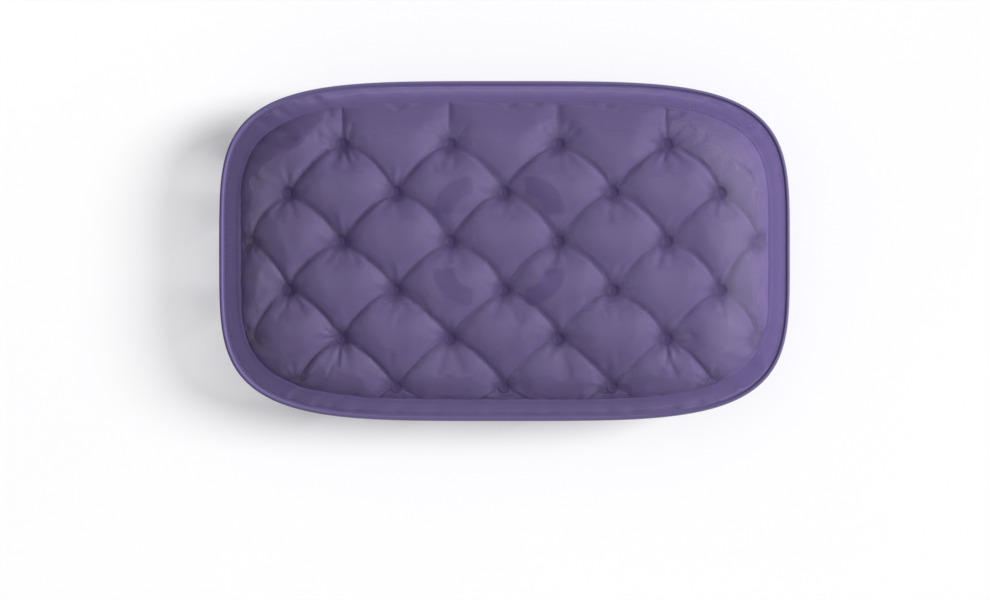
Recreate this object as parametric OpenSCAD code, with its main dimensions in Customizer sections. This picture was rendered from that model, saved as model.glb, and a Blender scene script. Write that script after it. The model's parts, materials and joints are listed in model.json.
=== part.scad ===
// Inflatable camp pillow: a see-through fabric cover over a tied air core, with
// lock patches under it and a capped two-stage air valve at the rear left corner.
// The pillow lies on z = 0. X runs along its length, Y to its rear edge, Z up.

/* [Whole pillow] */
// Overall length along X, over the piping
length = 564; // [300:1:800]
// Overall depth along Y, over the piping
depth = 336; // [200:1:500]
// Overall height when inflated
height = 125; // [90:1:200]
// Height of the seam line above the floor
seam_height = 58; // [40:1:100]
// Squareness of the outline: 2 is an ellipse, larger is squarer
corner_power = 4.2; // [2:0.1:8]

/* [Cover] */
// Thickness of the cover fabric as inflated
cover_wall = 1.6; // [0.8:0.1:3]
// Fullness of the crown: larger stays flat for longer before it turns down
crown_power = 3; // [2:0.1:8]
// Fullness of the underside
base_power = 4; // [2:0.1:8]
// Share of the crown that is level
crown_level = 0.3; // [0.1:0.05:0.6]
// Share of the underside that is level
base_level = 0.5; // [0.3:0.05:0.7]

/* [Piping] */
// Diameter of the piping bead
bead_diameter = 4.4; // [2:0.1:8]
// Width of the piping tape sewn between the panels
tape_width = 8; // [4:0.5:12]
// Thickness of the piping tape
tape_thickness = 0.8; // [0.4:0.1:1.5]

/* [Air core] */
// Distance of the core's edge inside the cover's edge
core_inset = 12.5; // [8:0.5:30]
// Thickness of a core sheet with its laminate
core_wall = 1.2; // [0.6:0.1:2]
// Space between the cover and the core at the crown and at the underside
core_gap = 1.6; // [0.8:0.1:6]
// Width of the welded rim that joins the two core sheets
rim_weld_width = 6; // [3:0.5:10]

/* [Ties] */
// Distance between ties in a row
tie_pitch = 106; // [80:1:150]
// Distance between rows of ties
tie_row_gap = 47.5; // [35:0.5:80]
// Distance of the rear row of ties behind the middle
tie_rear_row = 104; // [70:1:120]
// Number of rows of ties
tie_rows = 6; // [2:1:6]
// Diameter of a tie
tie_diameter = 4; // [2:0.5:8]
// Diameter of the round weld where a tie meets a sheet
tie_weld_diameter = 13; // [8:0.5:20]

/* [Lock patches] */
// Thickness of a lock patch
patch_thickness = 1.6; // [0.8:0.1:3]
// Outer radius of a quarter ring patch
patch_outer_radius = 37; // [25:0.5:50]
// Width of a patch's band
patch_width = 18.3; // [10:0.1:22]
// Gap between neighbouring patches
patch_gap = 56; // [30:1:80]
// Corner radius of a patch
patch_corner = 3; // [1:0.5:5]
// Place of the group of patches along X
patch_x = -4; // [-40:1:40]
// Place of the group of patches along Y
patch_y = 11; // [-30:1:30]

/* [Valve] */
// Share of the half length at which the valve sits
valve_share_x = 0.782; // [0.6:0.01:0.85]
// Share of the half depth at which the valve sits
valve_share_y = 0.758; // [0.6:0.01:0.85]
// Diameter of the valve's flange
flange_diameter = 34; // [30:0.5:44]
// Thickness of the valve's flange
flange_thickness = 2.3; // [1.5:0.1:4]
// Outer diameter of the valve's barrel
barrel_diameter = 26.4; // [24:0.2:34]
// Bore of the valve's barrel
barrel_bore = 22; // [20:0.2:30]
// Length of the barrel below the flange
barrel_length = 18; // [12:0.5:26]
// Outer diameter of the collar
collar_diameter = 27.6; // [26:0.2:36]
// Thickness of the collar's disc
collar_thickness = 2; // [1.2:0.1:3]
// Bore of the collar, which the inflation cap closes
port_bore = 13.2; // [11:0.2:18]
// Diameter of the collar's plug where it meets the disc
plug_diameter = 21; // [19:0.2:29]
// Depth of the collar's plug
plug_depth = 2.6; // [1.5:0.1:4]
// Diameter of the non-return flap
flap_diameter = 17.2; // [14:0.2:21]
// Thickness of the non-return flap
flap_thickness = 0.9; // [0.5:0.1:1.5]
// Diameter of the flap's stem
stem_diameter = 2; // [1.5:0.1:3]
// Diameter of the button at the stem's end
button_diameter = 4; // [3:0.1:6]
// Travel of the flap when its button is pressed
flap_travel = 2; // [1:0.1:2.2]
// Diameter of the inflation cap
cap_diameter = 19.6; // [16:0.2:24]
// Thickness of the inflation cap
cap_thickness = 1.8; // [1.2:0.1:3]
// Running clearance between parts that open
running_gap = 0.3; // [0.2:0.05:0.6]
// Diameter of the two hinge pins
hinge_pin_diameter = 1.3; // [1:0.1:2]

/* [Hidden] */

segments = 56;
corner_crowding = 6.5;
steps = 8;
around = 96;
bead_radius = bead_diameter / 2;
half_tape = tape_thickness / 2;

// Half sizes of the cover panels and of the core, and their level faces
panel = [length / 2 - bead_diameter, depth / 2 - bead_diameter];
core = [panel[0] - core_inset, panel[1] - core_inset];
cover_top = height;
cover_bottom = patch_thickness;
core_top = cover_top - cover_wall - core_gap;
core_bottom = cover_bottom + cover_wall + core_gap;

// The valve's own axes: along the slope, up the slope, and straight out of the cover
binding_thickness = 0.9;
binding_width = 5;
weld_ring_width = 5;
valve_reach = 40;
flange_rise = flange_thickness - 0.3;
flange_radius = flange_diameter / 2;
barrel_radius = barrel_diameter / 2;
collar_radius = collar_diameter / 2;
plug_radius = plug_diameter / 2;
plug_taper = 0.2;
port_radius = port_bore / 2;
hub_radius = stem_diameter / 2 + running_gap + 0.8;
spoke_width = 1.4;
spoke_height = 1.2;
pin_radius = hinge_pin_diameter / 2;
pin_play = 0.05;
collar_hinge_y = flange_radius - 1.7;
collar_knuckle = 1.3;
collar_hinge_z = collar_knuckle + running_gap;
collar_top = running_gap + collar_thickness;
cap_knuckle = 1.2;
cap_hinge_x = collar_radius - 2;
cap_hinge_z = collar_top + running_gap + cap_knuckle;
cap_low = collar_top + running_gap;
cap_radius = cap_diameter / 2;
cap_plug_radius = port_radius - 0.5;
cap_plug_wall = 1.3;
cap_plug_depth = 1.6;
tab_thickness = 1.4;
button_height = 0.9;
button_low = spoke_height + flap_travel + 0.2 - plug_depth;
seal_width = 0.9;
seal_groove = 0.4;

function lame(c, s) = [c, s] / pow(pow(abs(c), corner_power) + pow(abs(s), corner_power), 1 / corner_power);

// Points around the outline, closer together at the corners than along the sides
function rim_point(ring, k) =
    let (turn = 360 * k / segments + corner_crowding * sin(1440 * k / segments),
         p = lame(cos(turn), sin(turn)))
    [ring[0] * p[0], ring[1] * p[1], ring[2]];
function last_turn(power, level) = acos(pow(level, power / 2));

// Rings of one curved surface from its seam to its level face
function surface_rings(half, seam, level_z, power, level) =
    let (end = last_turn(power, level), rise = (level_z - seam) / sin(end))
    [for (j = [0:steps])
        let (turn = end * j / steps, share = pow(cos(turn), 2 / power))
        [half[0] * share, half[1] * share, seam + rise * sin(turn)]];
function crown_rings(half, grow, seam, level_z) =
    surface_rings([half[0] + grow, half[1] + grow], seam, level_z + grow, crown_power, crown_level);
function base_rings(half, grow, seam, level_z) =
    surface_rings([half[0] + grow, half[1] + grow], seam, level_z - grow, base_power, base_level);
function reversed(list) = [for (i = [len(list) - 1:-1:0]) list[i]];

// The point and the outward direction of the cover's underside where the valve sits
function outline_share(p) =
    pow(pow(abs(p[0]), corner_power) + pow(abs(p[1]), corner_power), 1 / corner_power);
valve_share = outline_share([valve_share_x, valve_share_y]);
base_seam = seam_height - half_tape;
base_rise = (base_seam - cover_bottom) / sin(last_turn(base_power, base_level));
valve_drop = base_rise * sqrt(1 - pow(valve_share, base_power));
valve_point = [-panel[0] * valve_share_x, panel[1] * valve_share_y, base_seam - valve_drop];
pull = base_power * pow(valve_share, base_power - corner_power);
slope = [
    -pull * pow(valve_share_x, corner_power - 1) / panel[0],
    pull * pow(valve_share_y, corner_power - 1) / panel[1],
    -2 * valve_drop / pow(base_rise, 2)
];
out = slope / norm(slope);
along = cross([0, 0, 1], out) / norm(cross([0, 0, 1], out));
up = cross(out, along);
valve_origin = valve_point + flange_rise * out;

// Where the ties stand: staggered rows, kept inside the core's rim
tie_limit = 0.9;
ties = [for (j = [0:tie_rows - 1]) for (i = [-3:3])
    let (x = (i + (j % 2 == 0 ? 0.5 : 0)) * tie_pitch, y = tie_rear_row - j * tie_row_gap)
    if (outline_share([x / core[0], y / core[1]]) <= tie_limit) [x, y]];

// A closed solid through rings: the first ring's cap looks up, the last one's down
module stack(rings) {
    n = segments;
    count = len(rings);
    points = [for (ring = rings) for (k = [0:n - 1]) rim_point(ring, k)];
    sides = [for (i = [0:count - 2]) for (k = [0:n - 1])
        let (a = i * n + k, b = i * n + (k + 1) % n)
        each [[a, b, b + n], [a, b + n, a + n]]];
    first = [for (k = [n - 1:-1:0]) k];
    last = [for (k = [0:n - 1]) (count - 1) * n + k];
    polyhedron(points = points, faces = concat([first], sides, [last]));
}

// A closed ring through a section given as rings around the outline
module loop(rings) {
    n = segments;
    count = len(rings);
    points = [for (ring = rings) for (k = [0:n - 1]) rim_point(ring, k)];
    faces = [for (i = [0:count - 1]) for (k = [0:n - 1])
        let (m = (i + 1) % count, a = i * n + k, b = i * n + (k + 1) % n,
             c = m * n + (k + 1) % n, d = m * n + k)
        each [[a, b, c], [a, c, d]]];
    polyhedron(points = points, faces = faces);
}

module crown_shell(half, low, high, seam, level_z) {
    stack(concat(reversed(crown_rings(half, high, seam, level_z)),
                 crown_rings(half, low, seam, level_z)));
}

module base_shell(half, low, high, seam, level_z) {
    stack(concat(reversed(base_rings(half, low, seam, level_z)),
                 base_rings(half, high, seam, level_z)));
}

module at_valve() {
    multmatrix([
        [along[0], up[0], out[0], valve_origin[0]],
        [along[1], up[1], out[1], valve_origin[1]],
        [along[2], up[2], out[2], valve_origin[2]],
        [0, 0, 0, 1]
    ]) children();
}

module disc(r, low, high) {
    translate([0, 0, low]) cylinder(r = r, h = high - low, $fn = around);
}

module tube(r_out, r_in, low, high) {
    difference() {
        disc(r_out, low, high);
        disc(r_in, low - 1, high + 1);
    }
}

module bar_x(r, x_low, x_high, y, z) {
    translate([x_low, y, z]) rotate([0, 90, 0]) cylinder(r = r, h = x_high - x_low, $fn = around);
}

module bar_y(r, y_low, y_high, x, z) {
    translate([x, y_low, z]) rotate([-90, 0, 0]) cylinder(r = r, h = y_high - y_low, $fn = around);
}

module cover_top_panel() {
    color([0.43, 0.38, 0.55, 0.6])
    crown_shell(panel, -cover_wall, 0, seam_height + half_tape, cover_top);
}

module cover_bottom_panel() {
    color([0.40, 0.35, 0.52, 0.6])
    difference() {
        base_shell(panel, -cover_wall, 0, base_seam, cover_bottom);
        at_valve() disc(barrel_radius + 0.2, -valve_reach, valve_reach);
    }
}

module seam_piping() {
    low = bead_radius * tan(22.5);
    color([0.36, 0.31, 0.48])
    loop([for (p = [
        [bead_diameter + tape_width, -half_tape], [bead_diameter + tape_width, half_tape],
        [bead_diameter, half_tape], [bead_diameter, low],
        [bead_radius + low, bead_radius], [bead_radius - low, bead_radius],
        [0, low], [0, -low],
        [bead_radius - low, -bead_radius], [bead_radius + low, -bead_radius],
        [bead_diameter, -low], [bead_diameter, -half_tape]
    ]) [length / 2 - p[0], depth / 2 - p[0], seam_height + p[1]]]);
}

module valve_opening_binding() {
    color([0.34, 0.29, 0.45])
    intersection() {
        base_shell(panel, 0, binding_thickness, base_seam, cover_bottom);
        at_valve() tube(flange_radius + running_gap + binding_width, flange_radius + running_gap,
                        -valve_reach, valve_reach);
    }
}

// Points on an arc about a centre, from one direction to another
function arc(centre, r, from, to, count) =
    [for (i = [0:count]) let (t = from + (to - from) * i / count)
        [centre[0] + r * cos(t), centre[1] + r * sin(t)]];

// A quarter ring with rounded corners, its round side away from the middle of the group
module lock_patch(side_x, side_y) {
    inner = patch_outer_radius - patch_width;
    far = patch_outer_radius - patch_corner;
    near = inner + patch_corner;
    far_turn = asin(patch_corner / far);
    near_turn = asin(patch_corner / near);
    far_start = far * [cos(far_turn), sin(far_turn)];
    near_start = near * [cos(near_turn), sin(near_turn)];
    far_end = [far_start[1], far_start[0]];
    near_end = [near_start[1], near_start[0]];
    color([0.30, 0.26, 0.40])
    translate([patch_x + side_x * patch_gap / 2, patch_y + side_y * patch_gap / 2, 0])
    rotate([0, 0, side_x > 0 ? (side_y > 0 ? 0 : -90) : (side_y > 0 ? 90 : 180)])
    linear_extrude(patch_thickness)
    polygon(concat(
        arc([0, 0], patch_outer_radius, far_turn, 90 - far_turn, 20),
        arc(far_end, patch_corner, 100 - far_turn, 180, 5),
        arc(near_end, patch_corner, 190, 270 - near_turn, 5),
        arc([0, 0], inner, 85 - near_turn, near_turn + 5, 14),
        arc(near_start, patch_corner, 180 + near_turn, 270, 5),
        arc(far_start, patch_corner, 280, 350 + far_turn, 5)
    ));
}

module lock_patch_front_left() { lock_patch(-1, -1); }
module lock_patch_front_right() { lock_patch(1, -1); }
module lock_patch_rear_left() { lock_patch(-1, 1); }
module lock_patch_rear_right() { lock_patch(1, 1); }

module core_top_sheet() {
    color([0.30, 0.27, 0.42])
    crown_shell(core, -core_wall, 0, seam_height + half_tape, core_top);
}

module core_bottom_sheet() {
    color([0.28, 0.25, 0.40])
    difference() {
        base_shell(core, -core_wall, 0, base_seam, core_bottom);
        at_valve() disc(barrel_radius, -valve_reach, valve_reach);
    }
}

module core_rim_weld() {
    color([0.25, 0.22, 0.36])
    loop([
        [core[0] - rim_weld_width, core[1] - rim_weld_width, seam_height - half_tape],
        [core[0] - rim_weld_width, core[1] - rim_weld_width, seam_height + half_tape],
        [core[0], core[1], seam_height + half_tape],
        [core[0], core[1], seam_height - half_tape]
    ]);
}

// The air space between the core sheets
module core_inside() {
    stack(concat(
        reversed(crown_rings(core, -core_wall, seam_height, core_top)),
        [for (ring = base_rings(core, -core_wall, seam_height, core_bottom)) if (ring[2] < seam_height) ring]
    ));
}

module core_ties() {
    color([0.55, 0.52, 0.62])
    intersection() {
        for (p = ties) translate([p[0], p[1], 0]) cylinder(d = tie_diameter, h = height, $fn = 24);
        core_inside();
    }
}

module core_top_tie_welds() {
    color([0.22, 0.19, 0.32])
    intersection() {
        crown_shell(core, 0, 0.6, seam_height + half_tape, core_top);
        for (p = ties) translate([p[0], p[1], seam_height + 1])
            cylinder(d = tie_weld_diameter, h = height, $fn = 32);
    }
}

module core_bottom_tie_welds() {
    color([0.22, 0.19, 0.32])
    intersection() {
        base_shell(core, 0, 0.6, base_seam, core_bottom);
        for (p = ties) translate([p[0], p[1], -1])
            cylinder(d = tie_weld_diameter, h = seam_height - 1, $fn = 32);
    }
}

module valve_base() {
    lug_low = 3.4;
    lug_high = 5;
    color([0.16, 0.16, 0.18])
    at_valve() difference() {
        union() {
            disc(flange_radius, -flange_thickness, 0);
            disc(barrel_radius, -barrel_length, 0);
            for (s = [-1, 1]) {
                bar_x(collar_knuckle, min(s * lug_low, s * lug_high), max(s * lug_low, s * lug_high),
                      collar_hinge_y, collar_hinge_z);
                translate([s * (lug_low + lug_high) / 2, collar_hinge_y, collar_hinge_z / 2 - 0.2])
                cube([lug_high - lug_low, 2 * collar_knuckle, collar_hinge_z + 0.4], center = true);
            }
        }
        disc(barrel_bore / 2, -barrel_length - 1, 1);
        bar_x(pin_radius, -lug_high - 1, lug_high + 1, collar_hinge_y, collar_hinge_z);
    }
}

module valve_weld_ring() {
    color([0.20, 0.18, 0.28])
    intersection() {
        base_shell(core, 0, 0.8, base_seam, core_bottom);
        at_valve() tube(barrel_radius + weld_ring_width, barrel_radius, -valve_reach, valve_reach);
    }
}

module collar_hinge_pin() {
    color([0.70, 0.70, 0.72])
    at_valve() bar_x(pin_radius, -5, 5, collar_hinge_y, collar_hinge_z);
}

module valve_collar() {
    lug_low = 2.9;
    lug_high = 4.4;
    arm = 3.1;
    color([0.20, 0.20, 0.22])
    at_valve() difference() {
        union() {
            difference() {
                union() {
                    disc(collar_radius, running_gap, collar_top);
                    translate([0, 0, -plug_depth])
                    cylinder(r1 = plug_radius - plug_taper, r2 = plug_radius,
                             h = plug_depth + running_gap, $fn = around);
                    translate([-arm, collar_radius - 2, running_gap])
                    cube([2 * arm, collar_hinge_y - collar_radius + 2, collar_thickness]);
                    bar_x(collar_knuckle, -arm, arm, collar_hinge_y, collar_hinge_z);
                    translate([-4.5, -flange_radius - 0.5, running_gap])
                    cube([9, flange_radius - collar_radius + 2, tab_thickness]);
                }
                disc(port_radius, -plug_depth - 1, collar_top + 1);
                tube(plug_radius + seal_width + 0.1, plug_radius - 0.1, 0, running_gap + seal_groove);
            }
            disc(hub_radius, -plug_depth, spoke_height - plug_depth);
            for (t = [90, 210, 330]) rotate([0, 0, t])
                translate([0, -spoke_width / 2, -plug_depth])
                cube([port_radius + 0.5, spoke_width, spoke_height]);
            for (s = [-1, 1]) {
                bar_y(cap_knuckle, min(s * lug_low, s * lug_high), max(s * lug_low, s * lug_high),
                      cap_hinge_x, cap_hinge_z);
                translate([cap_hinge_x, s * (lug_low + lug_high) / 2, (collar_top + cap_hinge_z) / 2 - 0.2])
                cube([2 * cap_knuckle, lug_high - lug_low, cap_hinge_z - collar_top + 0.4], center = true);
            }
        }
        disc(stem_diameter / 2 + running_gap, -plug_depth - 1, spoke_height);
        bar_x(pin_radius + pin_play, -arm - 1, arm + 1, collar_hinge_y, collar_hinge_z);
        bar_y(pin_radius, -lug_high - 1, lug_high + 1, cap_hinge_x, cap_hinge_z);
    }
}

module collar_seal() {
    color([0.75, 0.30, 0.20])
    at_valve() tube(plug_radius + seal_width, plug_radius, 0.1, running_gap + seal_groove);
}

module cap_hinge_pin() {
    color([0.70, 0.70, 0.72])
    at_valve() bar_y(pin_radius, -4.4, 4.4, cap_hinge_x, cap_hinge_z);
}

module valve_flap() {
    color([0.80, 0.78, 0.74])
    at_valve() tube(flap_diameter / 2, stem_diameter / 2,
                    -plug_depth - 0.2 - flap_thickness, -plug_depth - 0.2);
}

module flap_stem() {
    color([0.85, 0.40, 0.25])
    at_valve() union() {
        disc(stem_diameter / 2, -plug_depth - 0.2 - flap_thickness, button_low + 0.2);
        disc(button_diameter / 2, button_low, button_low + button_height);
    }
}

module inflation_cap() {
    arm = 2.6;
    color([0.24, 0.24, 0.26])
    at_valve() difference() {
        union() {
            disc(cap_radius, cap_low, cap_low + cap_thickness);
            tube(cap_plug_radius, cap_plug_radius - cap_plug_wall, cap_low - cap_plug_depth, cap_low + 0.2);
            translate([cap_radius - 2, -arm, cap_low])
            cube([cap_hinge_x - cap_radius + 2, 2 * arm, cap_thickness]);
            bar_y(cap_knuckle, -arm, arm, cap_hinge_x, cap_hinge_z);
            translate([-cap_radius - 4.2, -3.5, cap_low + 0.2]) cube([6, 7, tab_thickness]);
        }
        bar_y(pin_radius + pin_play, -arm - 1, arm + 1, cap_hinge_x, cap_hinge_z);
        tube(cap_plug_radius + seal_width + 0.1, cap_plug_radius, cap_low - 1, cap_low + seal_groove);
    }
}

module cap_seal() {
    color([0.75, 0.30, 0.20])
    at_valve() tube(cap_plug_radius + seal_width, cap_plug_radius, cap_low, cap_low + seal_groove);
}

cover_top_panel();
cover_bottom_panel();
seam_piping();
valve_opening_binding();
lock_patch_front_left();
lock_patch_front_right();
lock_patch_rear_left();
lock_patch_rear_right();
core_top_sheet();
core_bottom_sheet();
core_rim_weld();
core_ties();
core_top_tie_welds();
core_bottom_tie_welds();
valve_base();
valve_weld_ring();
collar_hinge_pin();
valve_collar();
collar_seal();
cap_hinge_pin();
valve_flap();
flap_stem();
inflation_cap();
cap_seal();
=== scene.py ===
"""An inflated camp pillow: a sheer cover over a tied air core, with grip patches
below and a capped air valve under the rear left corner."""

import json
import logging
import math
from dataclasses import dataclass, field
from enum import Enum
from typing import Optional, Sequence

import bmesh
import bpy
import numpy as np
from mathutils import Matrix, Vector
from mathutils.bvhtree import BVHTree


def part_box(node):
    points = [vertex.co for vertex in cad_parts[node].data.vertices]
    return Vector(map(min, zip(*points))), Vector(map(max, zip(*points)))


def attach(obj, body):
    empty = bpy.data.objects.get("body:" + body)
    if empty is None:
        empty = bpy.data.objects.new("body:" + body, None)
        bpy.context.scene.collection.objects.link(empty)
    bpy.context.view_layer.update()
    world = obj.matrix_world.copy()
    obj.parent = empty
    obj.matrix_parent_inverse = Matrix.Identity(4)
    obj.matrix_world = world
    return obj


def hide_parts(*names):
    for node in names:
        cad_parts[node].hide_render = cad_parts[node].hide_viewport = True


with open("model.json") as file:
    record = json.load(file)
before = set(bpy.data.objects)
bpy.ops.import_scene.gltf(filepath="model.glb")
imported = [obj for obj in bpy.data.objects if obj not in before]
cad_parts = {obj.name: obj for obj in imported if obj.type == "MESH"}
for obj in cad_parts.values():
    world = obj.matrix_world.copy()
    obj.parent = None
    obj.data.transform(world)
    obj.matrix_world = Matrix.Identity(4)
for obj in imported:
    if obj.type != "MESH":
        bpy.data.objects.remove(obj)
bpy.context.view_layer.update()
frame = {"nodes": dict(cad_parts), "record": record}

logging.basicConfig(level=logging.INFO, format="%(message)s")
LOG = logging.getLogger("camp_pillow")
MM = 0.001
OUTLINE_POWER = 4.2
TINY = 1e-9
FULL_TURN = 2 * math.pi
Color = tuple[float, float, float]
Place = tuple[float, float, float]
Spot = tuple[Vector, Vector, Vector]


class Body(Enum):
    """The bodies that pieces ride on."""

    PILLOW = "pillow"
    COLLAR = "collar"
    CAP = "cap"


class Slot(Enum):
    """The material slots of the record."""

    COVER = "cover_fabric"
    TRIM = "trim_fabric"
    PATCH = "patch_fabric"
    CORE = "core_fabric"
    WELD = "core_weld"
    VALVE = "valve_plastic"


class Side(Enum):
    """The two faces of the pillow, as the sign of their height over the seam."""

    TOP = 1
    BOTTOM = -1


# ---------------------------------------------------------------- finishes


class NodeBench:
    """A material's node tree with short ways to add and join its nodes."""

    THREAD_WOBBLE = 0.4
    THREAD_DETAIL = 2.0
    WAVES_PER_SCALE = math.pi / 10
    CROSSING = 45.0
    LEAST_UPRIGHT = 0.12

    def __init__(self, name: str) -> None:
        """Starts a new node material.

        Args:
            name: the material's name.
        """
        self.material = bpy.data.materials.new(name)
        self.material.use_nodes = True
        self.tree = self.material.node_tree
        self.shader = self.tree.nodes["Principled BSDF"]
        self.place = self.add("ShaderNodeTexCoord").outputs["Object"]

    def add(self, kind: str, **settings: object) -> bpy.types.Node:
        """Adds a node.

        Args:
            kind: the node's type name.
            settings: attributes to set on it.

        Returns:
            The new node.
        """
        node = self.tree.nodes.new(kind)
        for key, value in settings.items():
            setattr(node, key, value)
        return node

    def join(self, start: bpy.types.NodeSocket, end: bpy.types.NodeSocket) -> None:
        """Links one socket to another."""
        self.tree.links.new(start, end)

    def math(self, what: str, a: object, b: object = 0.0) -> bpy.types.NodeSocket:
        """Adds a Math node.

        Args:
            what: the operation's name.
            a: a socket or a number.
            b: a socket or a number.

        Returns:
            Its output.
        """
        node = self.add("ShaderNodeMath", operation=what)
        for socket, value in zip(node.inputs, (a, b)):
            if isinstance(value, (int, float)):
                socket.default_value = value
            else:
                self.join(value, socket)
        return node.outputs[0]

    def noise(self, scale: float, detail: float = 3.0,
              stretch: Optional[Place] = None) -> bpy.types.NodeSocket:
        """Adds a noise texture in object space.

        Args:
            scale: features per metre.
            detail: octaves.
            stretch: scale factors along X, Y and Z.

        Returns:
            Its 0 to 1 value.
        """
        node = self.add("ShaderNodeTexNoise")
        node.inputs["Scale"].default_value = scale
        node.inputs["Detail"].default_value = detail
        self.join(self.mapped(stretch) if stretch else self.place, node.inputs["Vector"])
        return node.outputs[0]

    def mapped(self, scale: Place, turn: Place = (0.0, 0.0, 0.0)) -> bpy.types.NodeSocket:
        """Gives object coordinates, scaled and turned.

        Args:
            scale: factors along X, Y and Z.
            turn: angles about X, Y and Z, in degrees.

        Returns:
            The new coordinates.
        """
        node = self.add("ShaderNodeMapping")
        node.inputs["Scale"].default_value = scale
        node.inputs["Rotation"].default_value = [math.radians(a) for a in turn]
        self.join(self.place, node.inputs["Vector"])
        return node.outputs[0]

    def threads(self, pitch: float, turn: Place) -> bpy.types.NodeSocket:
        """Adds one set of parallel threads.

        Args:
            pitch: distance between threads in metres.
            turn: the angles that turn the threads.

        Returns:
            A 0 to 1 height.
        """
        node = self.add("ShaderNodeTexWave", wave_type="BANDS", bands_direction="X",
                        wave_profile="SIN")
        node.inputs["Scale"].default_value = self.WAVES_PER_SCALE / pitch
        node.inputs["Distortion"].default_value = self.THREAD_WOBBLE
        node.inputs["Detail Scale"].default_value = self.THREAD_DETAIL
        self.join(self.mapped((1.0, 1.0, 1.0), turn), node.inputs["Vector"])
        return node.outputs["Fac"]

    def weave(self, pitch: float) -> bpy.types.NodeSocket:
        """Crosses two sets of threads.

        Args:
            pitch: distance between threads in metres.

        Returns:
            A 0 to 1 height.
        """
        warp = self.threads(pitch, (0.0, 0.0, self.CROSSING))
        weft = self.threads(pitch, (0.0, 0.0, -self.CROSSING))
        return self.math("MULTIPLY", warp, weft)

    def blend(self, share: bpy.types.NodeSocket, low: object,
              high: object) -> bpy.types.NodeSocket:
        """Mixes two colours.

        Args:
            share: how much of the second colour shows.
            low: the first colour, or a socket.
            high: the second colour, or a socket.

        Returns:
            The mixed colour.
        """
        node = self.add("ShaderNodeMix", data_type="RGBA")
        self.join(share, node.inputs["Factor"])
        for socket, value in ((node.inputs[6], low), (node.inputs[7], high)):
            if isinstance(value, tuple):
                socket.default_value = (*value, 1.0)
            else:
                self.join(value, socket)
        return node.outputs[2]

    def spread(self, value: bpy.types.NodeSocket, low: float,
               high: float) -> bpy.types.NodeSocket:
        """Stretches a 0 to 1 value to a new range.

        Args:
            value: the socket to stretch.
            low: what 0 becomes.
            high: what 1 becomes.

        Returns:
            The stretched value.
        """
        return self.math("ADD", self.math("MULTIPLY", value, high - low), low)

    def bump(self, height: bpy.types.NodeSocket, depth: float,
             under: Optional[bpy.types.NodeSocket] = None) -> bpy.types.NodeSocket:
        """Adds a bump.

        Args:
            height: a 0 to 1 height.
            depth: its full height in metres.
            under: a bump that this one adds to.

        Returns:
            The normal.
        """
        node = self.add("ShaderNodeBump")
        node.inputs["Distance"].default_value = depth
        self.join(height, node.inputs["Height"])
        if under:
            self.join(under, node.inputs["Normal"])
        return node.outputs[0]

    def slanted(self, alpha: float) -> bpy.types.NodeSocket:
        """Gives a thin cloth's opacity, which grows as sight crosses it at a slant.

        Args:
            alpha: the opacity seen head on.

        Returns:
            The opacity.
        """
        slant = self.add("ShaderNodeLayerWeight")
        slant.inputs["Blend"].default_value = 0.5
        level = self.math("SUBTRACT", 1.0, slant.outputs["Facing"])
        upright = self.math("MAXIMUM", level, self.LEAST_UPRIGHT)
        clear = self.math("POWER", 1 - alpha, self.math("DIVIDE", 1.0, upright))
        return self.math("SUBTRACT", 1.0, clear)

    def constants(self, **values: object) -> None:
        """Sets constants on the shader's own sockets, by name with _ for a space."""
        for key, value in values.items():
            self.shader.inputs[key.replace("_", " ")].default_value = value


@dataclass(frozen=True)
class SheerCloth:
    """A woven cloth that may let things show through."""

    name: str
    light: Color
    dark: Color
    alpha: float = 1.0
    roughness: float = 0.6
    sheen: float = 0.3
    sheen_tint: Color = (1.0, 1.0, 1.0)
    thread: float = 0.00055
    weave_depth: float = 0.00002
    # Painted shade: the near-black colour that a per-point attribute darkens the cloth towards in
    # its folds and tie hollows.
    painted_shade_color: Optional[Color] = None
    patch_scale: float = 9.0
    patch_share: float = 0.45
    fold_scale: float = 26.0
    fold_depth: float = 0.0005
    wear_scale: float = 60.0
    wear: tuple[float, float] = (-0.06, 0.08)
    sheen_roughness: float = 0.5
    specular: float = 0.25

    def build(self) -> bpy.types.Material:
        """Builds the material.

        Returns:
            The material.
        """
        bench = NodeBench(self.name)
        weave = bench.weave(self.thread)
        patches = bench.noise(self.patch_scale, 4.0)
        threads = bench.blend(weave, self.dark, self.light)
        color = bench.blend(bench.spread(patches, 0.0, self.patch_share), threads, self.dark)
        # Painted shade: darkens the colour where the mesh marks its folds and tie hollows.
        if self.painted_shade_color:
            hollow = bench.add("ShaderNodeAttribute", attribute_name="hollow").outputs["Fac"]
            color = bench.blend(hollow, color, self.painted_shade_color)
        bench.join(color, bench.shader.inputs["Base Color"])
        least, most = (self.roughness + change for change in self.wear)
        rough = bench.spread(bench.noise(self.wear_scale), least, most)
        bench.join(rough, bench.shader.inputs["Roughness"])
        folds = bench.bump(bench.noise(self.fold_scale, 2.0), self.fold_depth)
        bench.join(bench.bump(weave, self.weave_depth, folds), bench.shader.inputs["Normal"])
        if self.alpha < 1:
            bench.join(bench.slanted(self.alpha), bench.shader.inputs["Alpha"])
        bench.constants(Sheen_Weight=self.sheen, Sheen_Roughness=self.sheen_roughness,
                        Specular_IOR_Level=self.specular, Sheen_Tint=(*self.sheen_tint, 1.0))
        return bench.material


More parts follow.
